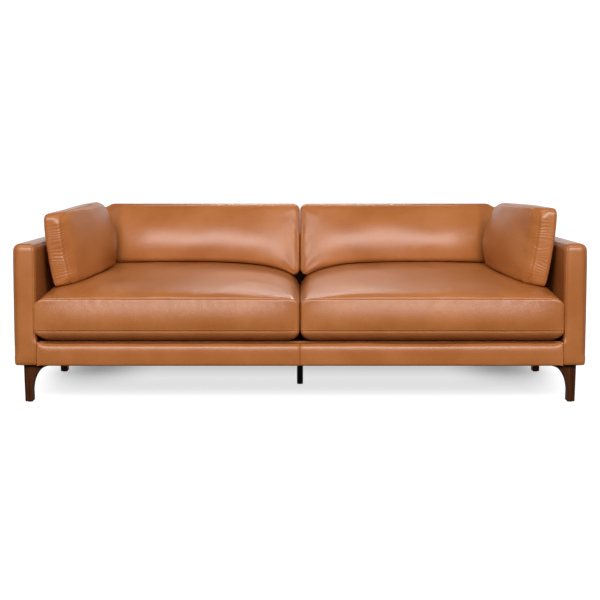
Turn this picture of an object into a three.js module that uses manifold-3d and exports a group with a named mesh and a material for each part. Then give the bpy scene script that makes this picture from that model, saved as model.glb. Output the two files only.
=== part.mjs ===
// Family sofa: a timber frame on four bracket legs and one centre leg,
// padded leather covers on the frame, and six loose leather cushions.
// Millimetres, +X to the viewer's right, -Y to the front, +Z up.
// The origin is on the floor, under the middle of the bounding box.
import * as THREE from 'three';
import { mergeVertices } from 'three/addons/utils/BufferGeometryUtils.js';
import Module from 'manifold-3d';

const wasm = await Module();
wasm.setup();

// ---------------------------------------------------------------- driving dimensions (mm)

const GAP = 0.4; // clearance between pieces that touch
const EASE = 2; // clearance beside a cushion that lifts out

const SOFA = { width: 2300, depth: 950, legHeight: 152, armRise: 492 }; // armRise: above the legs
const COVER = { armWidth: 88, backThickness: 95, padding: 18, edgeRadius: 24, railEdgeRadius: 14 };
const DECK_THICKNESS = 9.6;
const DUST_COVER = { thickness: 0.8, inset: 45, legClearance: 6 };

const TIMBER = { railThickness: 30, railHeight: 72, postDepth: 45, topRailHeight: 40 };
const STRETCHER = { width: 44, height: 46 };
const PANEL_THICKNESS = 3.2;
const CORNER_BLOCK_SIDE = 95;

const SPRING = { perSeat: 5, space: 14.4, wire: 4, halfWidth: 25, halfWaves: 12, stepsPerHalfWave: 4 };

const LEG = {
  outerInset: 32, // from the outside of the arm to the leg, at its top
  footDraft: 3, // how far the foot tapers in at the floor
  frontInset: 22, // from the front of the arm to the leg
  footWidth: 31,
  footDepth: 50,
  wingWidth: 98,
  wingDepth: 116,
  wingTip: 2.5, // thickness of the bracket at its free edge
  straightHeight: 46, // where the foot starts to flare into the bracket
};
const GLIDE = { radius: 12, thickness: 3 };
const BOLT = { radius: 4, inLeg: 16, inBlock: 40, insetX: 10, insetY: 24, holeClearance: 0.4 };
const CENTRE_LEG = { radius: 13.5, plate: 70, plateThickness: 3, footRadius: 13, footHeight: 6, setback: 515 };

const SEAT = { proud: 8, borderHeight: 173, crown: 108, radius: 42 };
// Heights of the back and side cushions run from the seat cushions' top seam.
const BACK = { bottom: 48.6, top: 367.6, frontAtSeat: 590, recline: 112, radius: 40, bulge: 20 };
const ARM_CUSHION = {
  bottom: 26.6,
  topFront: 342.6,
  topRear: 381.6,
  frontInset: 163, // from the front of the arm to the cushion's front band
  rearClearance: 12, // between the cushion's rear end and the back cushion
  outerSetback: 50, // from the arm's inner face to the cushion at its bottom edge
  lean: 0.13,
  bandThickness: 84,
  fullThickness: 188,
  bulge: 36,
  radius: 30,
};

// ---------------------------------------------------------------- planes shared by the pieces

const armTop = SOFA.legHeight + SOFA.armRise;
const armOuter = SOFA.width / 2;
const armInner = armOuter - COVER.armWidth;
const rear = SOFA.depth / 2;
const front = -SOFA.depth / 2 + SEAT.proud; // the front faces of the arms and the rail
const backFront = rear - COVER.backThickness;
const railTop = SOFA.legHeight + TIMBER.railHeight;
const deckBottom = railTop + SPRING.space;
const deckTop = deckBottom + DECK_THICKNESS;
const coverTop = armTop - COVER.padding - GAP; // highest point of the timber
const panelInner = armInner + COVER.padding + GAP;
const woodInner = panelInner + PANEL_THICKNESS + GAP;
const woodOuter = armOuter - COVER.padding - GAP;
const woodFront = front + COVER.padding + GAP;
const woodRear = rear - COVER.padding - GAP;
const backPanelFront = backFront + COVER.padding + GAP;
const backWoodFront = backPanelFront + PANEL_THICKNESS + GAP;
const topRailBottom = coverTop - TIMBER.topRailHeight;
const seatBottom = deckTop + GAP;
const seatSeam = seatBottom + SEAT.borderHeight;

// ---------------------------------------------------------------- materials

const finish = (color, roughness, metalness = 0) =>
  new THREE.MeshStandardMaterial({ color, roughness, metalness });

const LEATHER = finish(0xa8602e, 0.42);
const TIMBER_FINISH = finish(0xc9a878, 0.75);
const HARDBOARD = finish(0x7d5a3a, 0.8);
const WALNUT = finish(0x4a2817, 0.45);
const BLACK_METAL = finish(0x141414, 0.4, 0.8);
const STEEL = finish(0x9a9a9a, 0.35, 1);
const CLOTH = finish(0x2a2724, 0.95);
const DECK_CLOTH = finish(0x8a5a36, 0.9);
const PLASTIC = finish(0x1c1b1a, 0.6);

// ---------------------------------------------------------------- geometry helpers

/** A mesh with a name and a finish. */
function piece(name, geometry, material) {
  const mesh = new THREE.Mesh(geometry, material);
  mesh.name = name;
  return mesh;
}

/** A plain board between two values on each axis, placed by its mesh's position. */
function board(name, x, y, z, material = TIMBER_FINISH) {
  const size = [x, y, z].map(([a, b]) => Math.abs(b - a));
  const mesh = piece(name, new THREE.BoxGeometry(...size), material);
  mesh.position.set((x[0] + x[1]) / 2, (y[0] + y[1]) / 2, (z[0] + z[1]) / 2);
  return mesh;
}

/** An upright round piece from z[0] to z[1]. */
function upright(name, radius, x, y, z, material, sides = 16) {
  const geometry = new THREE.CylinderGeometry(radius, radius, z[1] - z[0], sides);
  geometry.rotateX(Math.PI / 2);
  const mesh = piece(name, geometry, material);
  mesh.position.set(x, y, (z[0] + z[1]) / 2);
  return mesh;
}

/** A closed outline in the YZ plane, carried along X from x[0] to x[1]. */
function extrudeAlongX(shape, x) {
  const geometry = new THREE.ExtrudeGeometry(shape, extrusion(x[1] - x[0]));
  const axes = new THREE.Matrix4().makeBasis(
    new THREE.Vector3(0, 1, 0),
    new THREE.Vector3(0, 0, 1),
    new THREE.Vector3(1, 0, 0),
  );
  return geometry.applyMatrix4(axes).translate(x[0], 0, 0);
}

/** A closed outline in the XZ plane, carried along Y from y[0] to y[1]. */
function extrudeAlongY(shape, y) {
  const geometry = new THREE.ExtrudeGeometry(shape, extrusion(y[1] - y[0]));
  return geometry.rotateX(Math.PI / 2).translate(0, y[1], 0);
}

/** A closed outline in the XY plane, carried up from z[0] to z[1]. */
function extrudeUp(shape, z) {
  return new THREE.ExtrudeGeometry(shape, extrusion(z[1] - z[0])).translate(0, 0, z[0]);
}

function extrusion(depth) {
  return { depth, bevelEnabled: false, curveSegments: 6 };
}

/** A geometry as a solid that can be cut and joined. */
function toSolid(geometry) {
  const bare = geometry.clone();
  bare.deleteAttribute('normal');
  bare.deleteAttribute('uv');
  const merged = mergeVertices(bare, 1e-4);
  const vertProperties = new Float32Array(merged.attributes.position.array);
  const triVerts = new Uint32Array(merged.index.array);
  return new wasm.Manifold(new wasm.Mesh({ numProp: 3, vertProperties, triVerts }));
}

/** A cut or joined solid as a geometry. */
function toGeometry(solid) {
  const mesh = solid.getMesh();
  const geometry = new THREE.BufferGeometry();
  geometry.setAttribute('position', new THREE.BufferAttribute(mesh.vertProperties, 3));
  geometry.setIndex(new THREE.BufferAttribute(mesh.triVerts, 1));
  geometry.computeVertexNormals();
  return geometry;
}

/** The solid between two values on each axis. */
function blockSolid(x, y, z) {
  const box = board('cutter', x, y, z);
  box.updateMatrix();
  return toSolid(box.geometry.clone().applyMatrix4(box.matrix));
}

/**
 * A block with rounded edges. Its grid lines crowd towards the edges. place(n) takes a point
 * in -1..1 on each axis and gives its place in the sofa.
 */
function softBlock(size, radius, segments, place) {
  const geometry = new THREE.BoxGeometry(2, 2, 2, ...segments);
  const half = size.map((value) => value / 2);
  const position = geometry.attributes.position;
  for (let i = 0; i < position.count; i += 1) {
    const corner = [position.getX(i), position.getY(i), position.getZ(i)];
    const point = corner.map((value, k) => Math.sin((value * Math.PI) / 2) * half[k]);
    const core = point.map((value, k) => THREE.MathUtils.clamp(value, radius - half[k], half[k] - radius));
    const over = point.map((value, k) => value - core[k]);
    const length = Math.hypot(...over);
    const reach = Math.max(...over.map(Math.abs));
    const shrink = length > 0 ? reach / length : 1;
    const rounded = core.map((value, k) => (value + over[k] * shrink) / half[k]);
    position.setXYZ(i, ...place(rounded));
  }
  geometry.computeVertexNormals();
  return geometry;
}

/** A soft block on one side of the sofa: side is -1 for the left, where x is mirrored. */
function sidedSoftBlock(side, size, radius, segments, place) {
  return softBlock(size, radius, segments, ([nx, ny, nz]) => {
    const [x, y, z] = place([side * nx, ny, nz]);
    return [side * x, y, z];
  });
}

const between = (a, b, n) => a + ((b - a) * (n + 1)) / 2; // n is -1..1
const sideName = (side) => (side < 0 ? 'left' : 'right');
const ordered = (a, b) => (a < b ? [a, b] : [b, a]);
const SIDES = [-1, 1];

// ---------------------------------------------------------------- timber frame

function baseFrame() {
  const group = new THREE.Group();
  const upTo = [SOFA.legHeight, railTop];
  const across = [-(woodInner - GAP), woodInner - GAP];
  const frontRail = [woodFront, woodFront + TIMBER.railThickness];
  const rearRail = [woodRear - TIMBER.railThickness, woodRear];
  const halfStretcher = STRETCHER.width / 2;
  group.add(
    board('front_rail', across, frontRail, upTo),
    board('rear_rail', across, rearRail, upTo),
    board(
      'centre_stretcher',
      [-halfStretcher, halfStretcher],
      [frontRail[1] + GAP, rearRail[0] - GAP],
      [SOFA.legHeight, SOFA.legHeight + STRETCHER.height],
    ),
  );
  for (const side of SIDES) {
    const x = ordered(side * woodInner, side * (woodInner + TIMBER.railThickness));
    const y = [woodFront + TIMBER.postDepth + GAP, woodRear - TIMBER.postDepth - GAP];
    group.add(board(`${sideName(side)}_end_rail`, x, y, upTo));
  }
  return group;
}

function armFrame(side) {
  const group = new THREE.Group();
  const name = sideName(side);
  const x = ordered(side * woodInner, side * woodOuter);
  const postHeight = [SOFA.legHeight, topRailBottom - GAP];
  const frontPost = [woodFront, woodFront + TIMBER.postDepth];
  const rearPost = [woodRear - TIMBER.postDepth, woodRear];
  const panel = ordered(side * panelInner, side * (panelInner + PANEL_THICKNESS));
  group.add(
    board(`${name}_arm_front_post`, x, frontPost, postHeight),
    board(`${name}_arm_rear_post`, x, rearPost, postHeight),
    board(`${name}_arm_top_rail`, x, [woodFront, woodRear], [topRailBottom, coverTop]),
    board(`${name}_arm_hardboard`, panel, [woodFront, backFront], [deckBottom, coverTop], HARDBOARD),
  );
  return group;
}

function backFrame() {
  const group = new THREE.Group();
  const reach = woodInner - GAP;
  const y = [backWoodFront, woodRear];
  const postHeight = [railTop + GAP, topRailBottom - GAP];
  const halfPost = TIMBER.postDepth / 2;
  const centres = { left: -(reach - halfPost), centre: 0, right: reach - halfPost };
  for (const [name, x] of Object.entries(centres)) {
    group.add(board(`back_${name}_post`, [x - halfPost, x + halfPost], y, postHeight));
  }
  group.add(board('back_top_rail', [-reach, reach], y, [topRailBottom, coverTop]));
  group.add(
    board(
      'back_hardboard',
      [-reach, reach],
      [backPanelFront, backPanelFront + PANEL_THICKNESS],
      [deckBottom, coverTop],
      HARDBOARD,
    ),
  );
  return group;
}

// ---------------------------------------------------------------- legs and their fixings

/** The four corners, each with its bolt's place and the direction towards the middle. */
function corners() {
  const frontCorner = woodFront + TIMBER.railThickness + GAP;
  const rearCorner = woodRear - TIMBER.railThickness - GAP;
  const list = [];
  for (const side of SIDES) {
    list.push({ name: `front_${sideName(side)}`, side, y: frontCorner, inward: 1, legEdge: front });
    list.push({ name: `rear_${sideName(side)}`, side, y: rearCorner, inward: -1, legEdge: rear });
  }
  return list.map((corner) => ({
    ...corner,
    x: woodInner - GAP,
    boltX: corner.side * (woodInner - GAP - BOLT.insetX),
    boltY: corner.y + corner.inward * BOLT.insetY,
  }));
}

/** A hole for a hanger bolt, from z[0] to z[1]. */
function boltHole(corner, z) {
  const hole = upright('hole', BOLT.radius + BOLT.holeClearance, corner.boltX, corner.boltY, z, STEEL, 12);
  hole.updateMatrix();
  return toSolid(hole.geometry.clone().applyMatrix4(hole.matrix));
}

/** Triangular glue block in a corner of the base, bored for the leg's bolt. */
function cornerBlock(corner) {
  const { side, x, y, inward } = corner;
  const shape = new THREE.Shape();
  shape.moveTo(side * x, y);
  shape.lineTo(side * (x - CORNER_BLOCK_SIDE), y);
  shape.lineTo(side * x, y + inward * CORNER_BLOCK_SIDE);
  shape.closePath();
  const block = toSolid(extrudeUp(shape, [SOFA.legHeight, railTop]));
  const hole = boltHole(corner, [SOFA.legHeight - 1, railTop + 1]);
  return piece(`${corner.name}_corner_block`, toGeometry(block.subtract(hole)), TIMBER_FINISH);
}

/**
 * The bracket leg's outline from one side: a straight foot that sweeps in a quarter curve
 * into a thin wing. Distances run from the outer edge, towards the middle of the sofa.
 */
function bracketShape(edge, inward, footSize, wingSize, draft) {
  const top = SOFA.legHeight - GAP;
  const foot = GLIDE.thickness + GAP;
  const at = (distance) => edge + inward * distance;
  const shape = new THREE.Shape();
  shape.moveTo(at(0), top);
  shape.lineTo(at(draft), foot);
  shape.lineTo(at(draft + footSize), foot);
  shape.lineTo(at(draft + footSize), LEG.straightHeight);
  shape.quadraticCurveTo(at(draft + footSize + 4), top - LEG.wingTip - 15, at(wingSize), top - LEG.wingTip);
  shape.lineTo(at(wingSize), top);
  shape.closePath();
  return shape;
}

function bracketLeg(corner) {
  const outer = armOuter - LEG.outerInset;
  const frontShape = bracketShape(corner.side * outer, -corner.side, LEG.footWidth, LEG.wingWidth, LEG.footDraft);
  const edge = corner.legEdge + corner.inward * LEG.frontInset;
  const sideShape = bracketShape(edge, corner.inward, LEG.footDepth, LEG.wingDepth, LEG.footDraft);
  const y = ordered(edge, edge + corner.inward * LEG.wingDepth);
  const x = ordered(corner.side * outer, corner.side * (outer - LEG.wingWidth));
  const fromFront = toSolid(extrudeAlongY(frontShape, [y[0] - 1, y[1] + 1]));
  const fromSide = toSolid(extrudeAlongX(sideShape, [x[0] - 1, x[1] + 1]));
  const hole = boltHole(corner, [SOFA.legHeight - BOLT.inLeg - 2, SOFA.legHeight + 1]);
  const leg = fromFront.intersect(fromSide).subtract(hole);
  return piece(`${corner.name}_leg`, toGeometry(leg), WALNUT);
}

/** The round pad under a leg's foot. */
function glide(corner) {
  const x = corner.side * (armOuter - LEG.outerInset - LEG.footDraft - LEG.footWidth / 2);
  const y = corner.legEdge + corner.inward * (LEG.frontInset + LEG.footDraft + LEG.footDepth / 2);
  return upright(`${corner.name}_glide`, GLIDE.radius, x, y, [0, GLIDE.thickness], PLASTIC);
}

function hangerBolt(corner) {
  const z = [SOFA.legHeight - BOLT.inLeg, SOFA.legHeight + BOLT.inBlock];
  return upright(`${corner.name}_hanger_bolt`, BOLT.radius, corner.boltX, corner.boltY, z, STEEL, 10);
}

function legs() {
  const group = new THREE.Group();
  for (const corner of corners()) {
    group.add(cornerBlock(corner), bracketLeg(corner), glide(corner), hangerBolt(corner));
  }
  return group;
}

/** The black tube leg under the middle of the frame, with its plate and foot. */
function centreLeg() {
  const group = new THREE.Group();
  const y = front + CENTRE_LEG.setback;
  const halfPlate = CENTRE_LEG.plate / 2;
  const plateTop = SOFA.legHeight - DUST_COVER.thickness - 2 * GAP;
  const plateBottom = plateTop - CENTRE_LEG.plateThickness;
  group.add(
    board(
      'centre_leg_plate',
      [-halfPlate, halfPlate],
      [y - halfPlate, y + halfPlate],
      [plateBottom, plateTop],
      BLACK_METAL,
    ),
    upright('centre_leg', CENTRE_LEG.radius, 0, y, [CENTRE_LEG.footHeight + GAP, plateBottom - GAP], BLACK_METAL),
    upright('centre_leg_foot', CENTRE_LEG.footRadius, 0, y, [0, CENTRE_LEG.footHeight], PLASTIC),
  );
  return group;
}

// ---------------------------------------------------------------- springs, deck and dust cover

/** A sinuous spring's centre line: even waves from front to rear, with a slight upward arch. */
class SinuousLine extends THREE.Curve {
  constructor(x, y, z, arch, side) {
    super();
    Object.assign(this, { x, y, z, arch, side });
  }

  getPoint(t, target = new THREE.Vector3()) {
    return target.set(
      this.x + this.side * SPRING.halfWidth * Math.sin(Math.PI * SPRING.halfWaves * t),
      THREE.MathUtils.lerp(this.y[0], this.y[1], t),
      this.z + this.arch * Math.sin(Math.PI * t),
    );
  }

  /** Equal steps of t, so that every wave gets the same steps. */
  getPointAt(t, target) {
    return this.getPoint(t, target);
  }
}

function sinuousSpring(name, x, side) {
  const y = [woodFront + TIMBER.railThickness / 2, woodRear - TIMBER.railThickness / 2];
  const radius = SPRING.wire / 2;
  const z = railTop + GAP + radius;
  const arch = deckBottom - GAP - radius - z;
  const wire = new THREE.Shape([0, 1, 2, 3].map((k) => {
    const angle = (k * Math.PI) / 2;
    return new THREE.Vector2(radius * Math.cos(angle), radius * Math.sin(angle));
  }));
  const steps = SPRING.halfWaves * SPRING.stepsPerHalfWave;
  const extrudePath = new SinuousLine(x, y, z, arch - GAP, side);
  return piece(name, new THREE.ExtrudeGeometry(wire, { steps, extrudePath }), STEEL);
}

function springs() {
  const group = new THREE.Group();
  const pitch = armInner / SPRING.perSeat;
  for (const side of SIDES) {
    for (let k = 0; k < SPRING.perSeat; k += 1) {
      const x = side * pitch * (k + 0.5);
      group.add(sinuousSpring(`${sideName(side)}_seat_spring_${k + 1}`, x, side));
    }
  }
  return group;
}

function seatDeck() {
  const x = [-(armInner - GAP), armInner - GAP];
  const y = [front + COVER.padding + GAP, backFront - GAP];
  return board('seat_deck', x, y, [deckBottom, deckTop], DECK_CLOTH);
}

/** Thin cloth under the frame, notched around the four legs. */
function dustCover() {
  const x = woodInner - GAP;
  const y = [front + DUST_COVER.inset, rear - DUST_COVER.inset];
  const notchX = armOuter - LEG.outerInset - LEG.wingWidth - DUST_COVER.legClearance;
  const reach = LEG.frontInset + LEG.wingDepth + DUST_COVER.legClearance;
  const notchY = [front + reach, rear - reach];
  const shape = new THREE.Shape();
  shape.moveTo(-notchX, y[0]);
  shape.lineTo(notchX, y[0]);
  shape.lineTo(notchX, notchY[0]);
  shape.lineTo(x, notchY[0]);
  shape.lineTo(x, notchY[1]);
  shape.lineTo(notchX, notchY[1]);
  shape.lineTo(notchX, y[1]);
  shape.lineTo(-notchX, y[1]);
  shape.lineTo(-notchX, notchY[1]);
  shape.lineTo(-x, notchY[1]);
  shape.lineTo(-x, notchY[0]);
  shape.lineTo(-notchX, notchY[0]);
  shape.closePath();
  const top = SOFA.legHeight - GAP;
  return piece('dust_cover', extrudeUp(shape, [top - DUST_COVER.thickness, top]), CLOTH);
}

// ---------------------------------------------------------------- padded leather covers

/** One arm's foam and leather, open below, with its inner wall ending at the seat deck. */
function armUpholstery(side) {
  const across = [armInner, armOuter];
  const along = [front, rear];
  const size = [COVER.armWidth, rear - front, SOFA.armRise];
  const skin = sidedSoftBlock(side, size, COVER.edgeRadius, [4, 6, 6], ([nx, ny, nz]) => [
    between(...across, nx),
    between(...along, ny),
    between(SOFA.legHeight, armTop, nz),
  ]);
  const pad = COVER.padding;
  const below = SOFA.legHeight - 1;
  const inside = [front + pad, rear - pad];
  const innerWall = ordered(side * (armInner - 1), side * (armInner + pad + 1));
  const cavity = blockSolid(
    ordered(side * (armInner + pad), side * (armOuter - pad)),
    inside,
    [below, armTop - pad],
  );
  const underDeck = blockSolid(innerWall, inside, [below, deckBottom]);
  const behindBack = blockSolid(innerWall, [backFront + pad, inside[1]], [below, armTop - pad]);
  const shell = toSolid(skin).subtract(cavity).subtract(underDeck).subtract(behindBack);
  return piece(`${sideName(side)}_arm_upholstery`, toGeometry(shell), LEATHER);
}

/** The back's foam and leather: an upside-down channel over the back frame. */
function backUpholstery() {
  const pad = COVER.padding;
  const top = armTop;
  const r = COVER.edgeRadius;
  const shape = new THREE.Shape();
  shape.moveTo(backFront, deckBottom);
  shape.lineTo(backFront, top - r);
  shape.absarc(backFront + r, top - r, r, Math.PI, Math.PI / 2, true);
  shape.lineTo(rear - r, top);
  shape.absarc(rear - r, top - r, r, Math.PI / 2, 0, true);
  shape.lineTo(rear, SOFA.legHeight);
  shape.lineTo(rear - pad, SOFA.legHeight);
  shape.lineTo(rear - pad, top - pad);
  shape.lineTo(backFront + pad, top - pad);
  shape.lineTo(backFront + pad, deckBottom);
  shape.closePath();
  const reach = armInner - GAP;
  return piece('back_upholstery', extrudeAlongX(shape, [-reach, reach]), LEATHER);
}

/** The front rail's foam and leather: a face with a rounded top edge. */
function frontRailUpholstery() {
  const r = COVER.railEdgeRadius;
  const shape = new THREE.Shape();
  shape.moveTo(front, SOFA.legHeight);
  shape.lineTo(front, deckTop - r);
  shape.absarc(front + r, deckTop - r, r, Math.PI, Math.PI / 2, true);
  shape.lineTo(front + COVER.padding, deckTop);
  shape.lineTo(front + COVER.padding, SOFA.legHeight);
  shape.closePath();
  const reach = armInner - GAP;
  return piece('front_rail_upholstery', extrudeAlongX(shape, [-reach, reach]), LEATHER);
}

// ---------------------------------------------------------------- loose cushions

const seatX = [EASE, armInner - EASE];
const seatY = [front - SEAT.proud, backFront - EASE];

/** A seat cushion: square border, and a top that rises fast from the front, then slowly. */
function seatGeometry(side) {
  const size = [seatX[1] - seatX[0], seatY[1] - seatY[0], SEAT.borderHeight];
  return sidedSoftBlock(side, size, SEAT.radius, [10, 10, 3], ([nx, ny, nz]) => {
    const across = Math.sqrt(Math.max(0, 1 - nx ** 4));
    const depth = (ny + 1) / 2;
    const along = depth ** 0.32 * Math.sqrt(Math.max(0, 1 - depth ** 16));
    const lift = SEAT.crown * across * along * ((nz + 1) / 2);
    return [between(...seatX, nx), between(...seatY, ny), between(seatBottom, seatSeam, nz) + lift];
  });
}

/** The space a seat cushion takes up, raised a little, to shape what lies on it. */
function seatCutter(side) {
  return toSolid(seatGeometry(side)).translate(0, 0, 2 * GAP);
}

/** A back cushion: upright at the rear, reclined and full at the front. */
function backCushion(side) {
  const x = [seatX[0] + EASE, seatX[1] - EASE];
  const y = [front + BACK.frontAtSeat, seatY[1] - EASE];
  const size = [x[1] - x[0], y[1] - y[0], BACK.top - BACK.bottom];
  const skin = sidedSoftBlock(side, size, BACK.radius, [8, 4, 7], ([nx, ny, nz]) => {
    const rise = (nz + 1) / 2;
    const fullness = (1 - nx ** 4) * Math.sin(Math.PI * rise);
    const face = y[0] + BACK.bulge + BACK.recline * rise ** 1.3 - BACK.bulge * fullness;
    return [between(...x, nx), between(face, y[1], ny), seatSeam + between(BACK.bottom, BACK.top, nz)];
  });
  return toSolid(skin).subtract(seatCutter(side));
}

/** A side cushion: a thin band in front, thicker towards the rear, leaning on the arm. */
function armCushion(side) {
  const y = [front + ARM_CUSHION.frontInset, front + BACK.frontAtSeat - ARM_CUSHION.rearClearance];
  const height = ARM_CUSHION.topRear - ARM_CUSHION.bottom;
  const size = [ARM_CUSHION.fullThickness, y[1] - y[0], height];
  const skin = sidedSoftBlock(side, size, ARM_CUSHION.radius, [3, 7, 6], ([nx, ny, nz]) => {
    const depth = (ny + 1) / 2;
    const rise = (nz + 1) / 2;
    const gain = (ARM_CUSHION.fullThickness - ARM_CUSHION.bandThickness) * Math.sin((depth * Math.PI) / 2);
    const bulge = ARM_CUSHION.bulge * Math.sin((depth * Math.PI) / 2) * Math.sin(rise * Math.PI);
    const thickness = ARM_CUSHION.bandThickness + gain + bulge;
    const top = THREE.MathUtils.lerp(ARM_CUSHION.topFront, ARM_CUSHION.topRear, depth);
    const height = THREE.MathUtils.lerp(0, top - ARM_CUSHION.bottom, rise);
    const outer = armInner - ARM_CUSHION.outerSetback + ARM_CUSHION.lean * height;
    const z = seatSeam + ARM_CUSHION.bottom + height;
    return [outer - (thickness * (1 - nx)) / 2, between(...y, ny), z];
  });
  return toSolid(skin).subtract(seatCutter(side));
}

function cushions() {
  const group = new THREE.Group();
  for (const side of SIDES) {
    const name = sideName(side);
    group.add(
      piece(`${name}_seat_cushion`, seatGeometry(side), LEATHER),
      piece(`${name}_back_cushion`, toGeometry(backCushion(side)), LEATHER),
      piece(`${name}_arm_cushion`, toGeometry(armCushion(side)), LEATHER),
    );
  }
  return group;
}

// ---------------------------------------------------------------- the sofa

function sofa() {
  const group = new THREE.Group();
  group.name = 'sofa';
  group.add(baseFrame(), armFrame(-1), armFrame(1), backFrame());
  group.add(legs(), centreLeg());
  group.add(springs(), seatDeck(), dustCover());
  group.add(armUpholstery(-1), armUpholstery(1), backUpholstery(), frontRailUpholstery());
  group.add(cushions());
  return group;
}

export default sofa();
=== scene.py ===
import logging
import math
from dataclasses import dataclass
from enum import Enum
from typing import Iterable

import bpy
import numpy as np
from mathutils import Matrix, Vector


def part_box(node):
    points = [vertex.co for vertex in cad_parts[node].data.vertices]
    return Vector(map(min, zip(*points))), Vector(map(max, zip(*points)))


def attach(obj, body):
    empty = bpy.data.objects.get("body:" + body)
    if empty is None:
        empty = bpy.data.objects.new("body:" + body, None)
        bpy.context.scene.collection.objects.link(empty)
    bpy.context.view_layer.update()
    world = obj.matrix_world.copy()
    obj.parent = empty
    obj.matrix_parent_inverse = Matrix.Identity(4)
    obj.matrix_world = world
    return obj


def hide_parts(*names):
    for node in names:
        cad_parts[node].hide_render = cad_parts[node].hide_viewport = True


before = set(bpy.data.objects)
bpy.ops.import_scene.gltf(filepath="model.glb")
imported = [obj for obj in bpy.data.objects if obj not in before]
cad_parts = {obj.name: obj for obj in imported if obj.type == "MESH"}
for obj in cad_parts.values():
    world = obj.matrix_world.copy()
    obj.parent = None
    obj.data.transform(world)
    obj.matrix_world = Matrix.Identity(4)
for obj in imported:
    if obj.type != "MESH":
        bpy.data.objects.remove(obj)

# Looks of a family sofa: tan leather covers and loose cushions on a timber frame with walnut
# legs. Shapes are worked out in millimetres, +X to the viewer's right, -Y to the front, +Z up.

LOG = logging.getLogger("sofa")
MM = 0.001

Array = np.ndarray

SEAT_PROUD = 8.0  # how far the seat cushions stand in front of the arms
ON_FACE = 1e-6  # how near to a block's face a corner counts as on it
FREE = 1e9  # half a size that limits nothing
FAR = 1e3  # farther from a seam than its relief reaches
EDGE = (0.0, 1.2, 2.6, 4.4, 6.6, 9.4, 13.0, 18.0, 24.0, 31.0, 40.0)  # grid lines near an edge


class Side(Enum):
    """The two halves of the sofa, as the viewer sees them; the value is the sign of x."""

    LEFT = -1
    RIGHT = 1

    @property
    def label(self) -> str:
        """The word that starts the names of this half's pieces."""
        return self.name.lower()


class Fill(Enum):
    """How tightly a padded piece is filled, from slack to tight."""

    LOOSE = 0.6
    PLUMP = 0.75
    TIGHT = 1.0


# ------------------------------------------------------------------------------- surface maths


def smooth(value: Array, start: float, end: float) -> Array:
    """A smooth step: 0 before start, 1 after end, and 3t^2 - 2t^3 in between."""
    t = np.clip((value - start) / (end - start), 0.0, 1.0)
    return t * t * (3.0 - 2.0 * t)


def bell(value: Array, width: float) -> Array:
    """A bell curve of height 1 round zero: exp(-(value / width)^2)."""
    return np.exp(-((value / width) ** 2))


def between(low: Array | float, high: Array | float, n: Array) -> Array:
    """The value from low, at n = -1, to high, at n = 1."""
    return low + (high - low) * (n + 1.0) / 2.0


def waves(points: Array, length: float, seed: int, stretch: Iterable[float] = (1, 1, 1)) -> Array:
    """Smooth random relief, the sum of a dozen sine waves in random directions.

    Args:
        points: places in millimetres, one row each.
        length: typical distance from crest to crest.
        seed: picks the directions and phases.
        stretch: how many times longer the relief is along each axis.

    Returns:
        One height for each point, mostly within -1..1.
    """
    count = 12
    rng = np.random.default_rng(seed)
    direction = rng.normal(size=(count, 3))
    direction /= np.linalg.norm(direction, axis=1, keepdims=True)
    rate = 2.0 * np.pi / (length * rng.uniform(0.7, 1.5, count))
    phase = rng.uniform(0.0, 2.0 * np.pi, count)
    angle = (points / np.array(list(stretch), float)) @ (direction * rate[:, None]).T + phase
    return np.sin(angle).sum(axis=1) * 0.7 / math.sqrt(count)


def edge_lines(half: float, step: float, near: Iterable[float]) -> Array:
    """Grid lines from -half to half that crowd at both ends.

    Args:
        half: half the length.
        step: the widest spacing, in the middle.
        near: distances from each end that get a line of their own.

    Returns:
        Positions in rising order.
    """
    near = np.array(sorted(near))
    inner = half - near[-1]
    middle = np.linspace(-inner, inner, max(2, int(round(2 * inner / step)) + 1))
    return np.unique(np.concatenate([-half + near, middle, half - near]).round(6))


def merged(*parts: Array) -> Array:
    """Grid lines from several lists, in rising order and each line once."""
    return np.unique(np.concatenate(parts).round(4))


def middle_and_half(low: Array, high: Array) -> tuple[Array, Array]:
    """A box's middle and half its size on each axis, from its lowest and highest corners."""
    return (low + high) / 2.0, (high - low) / 2.0


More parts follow.
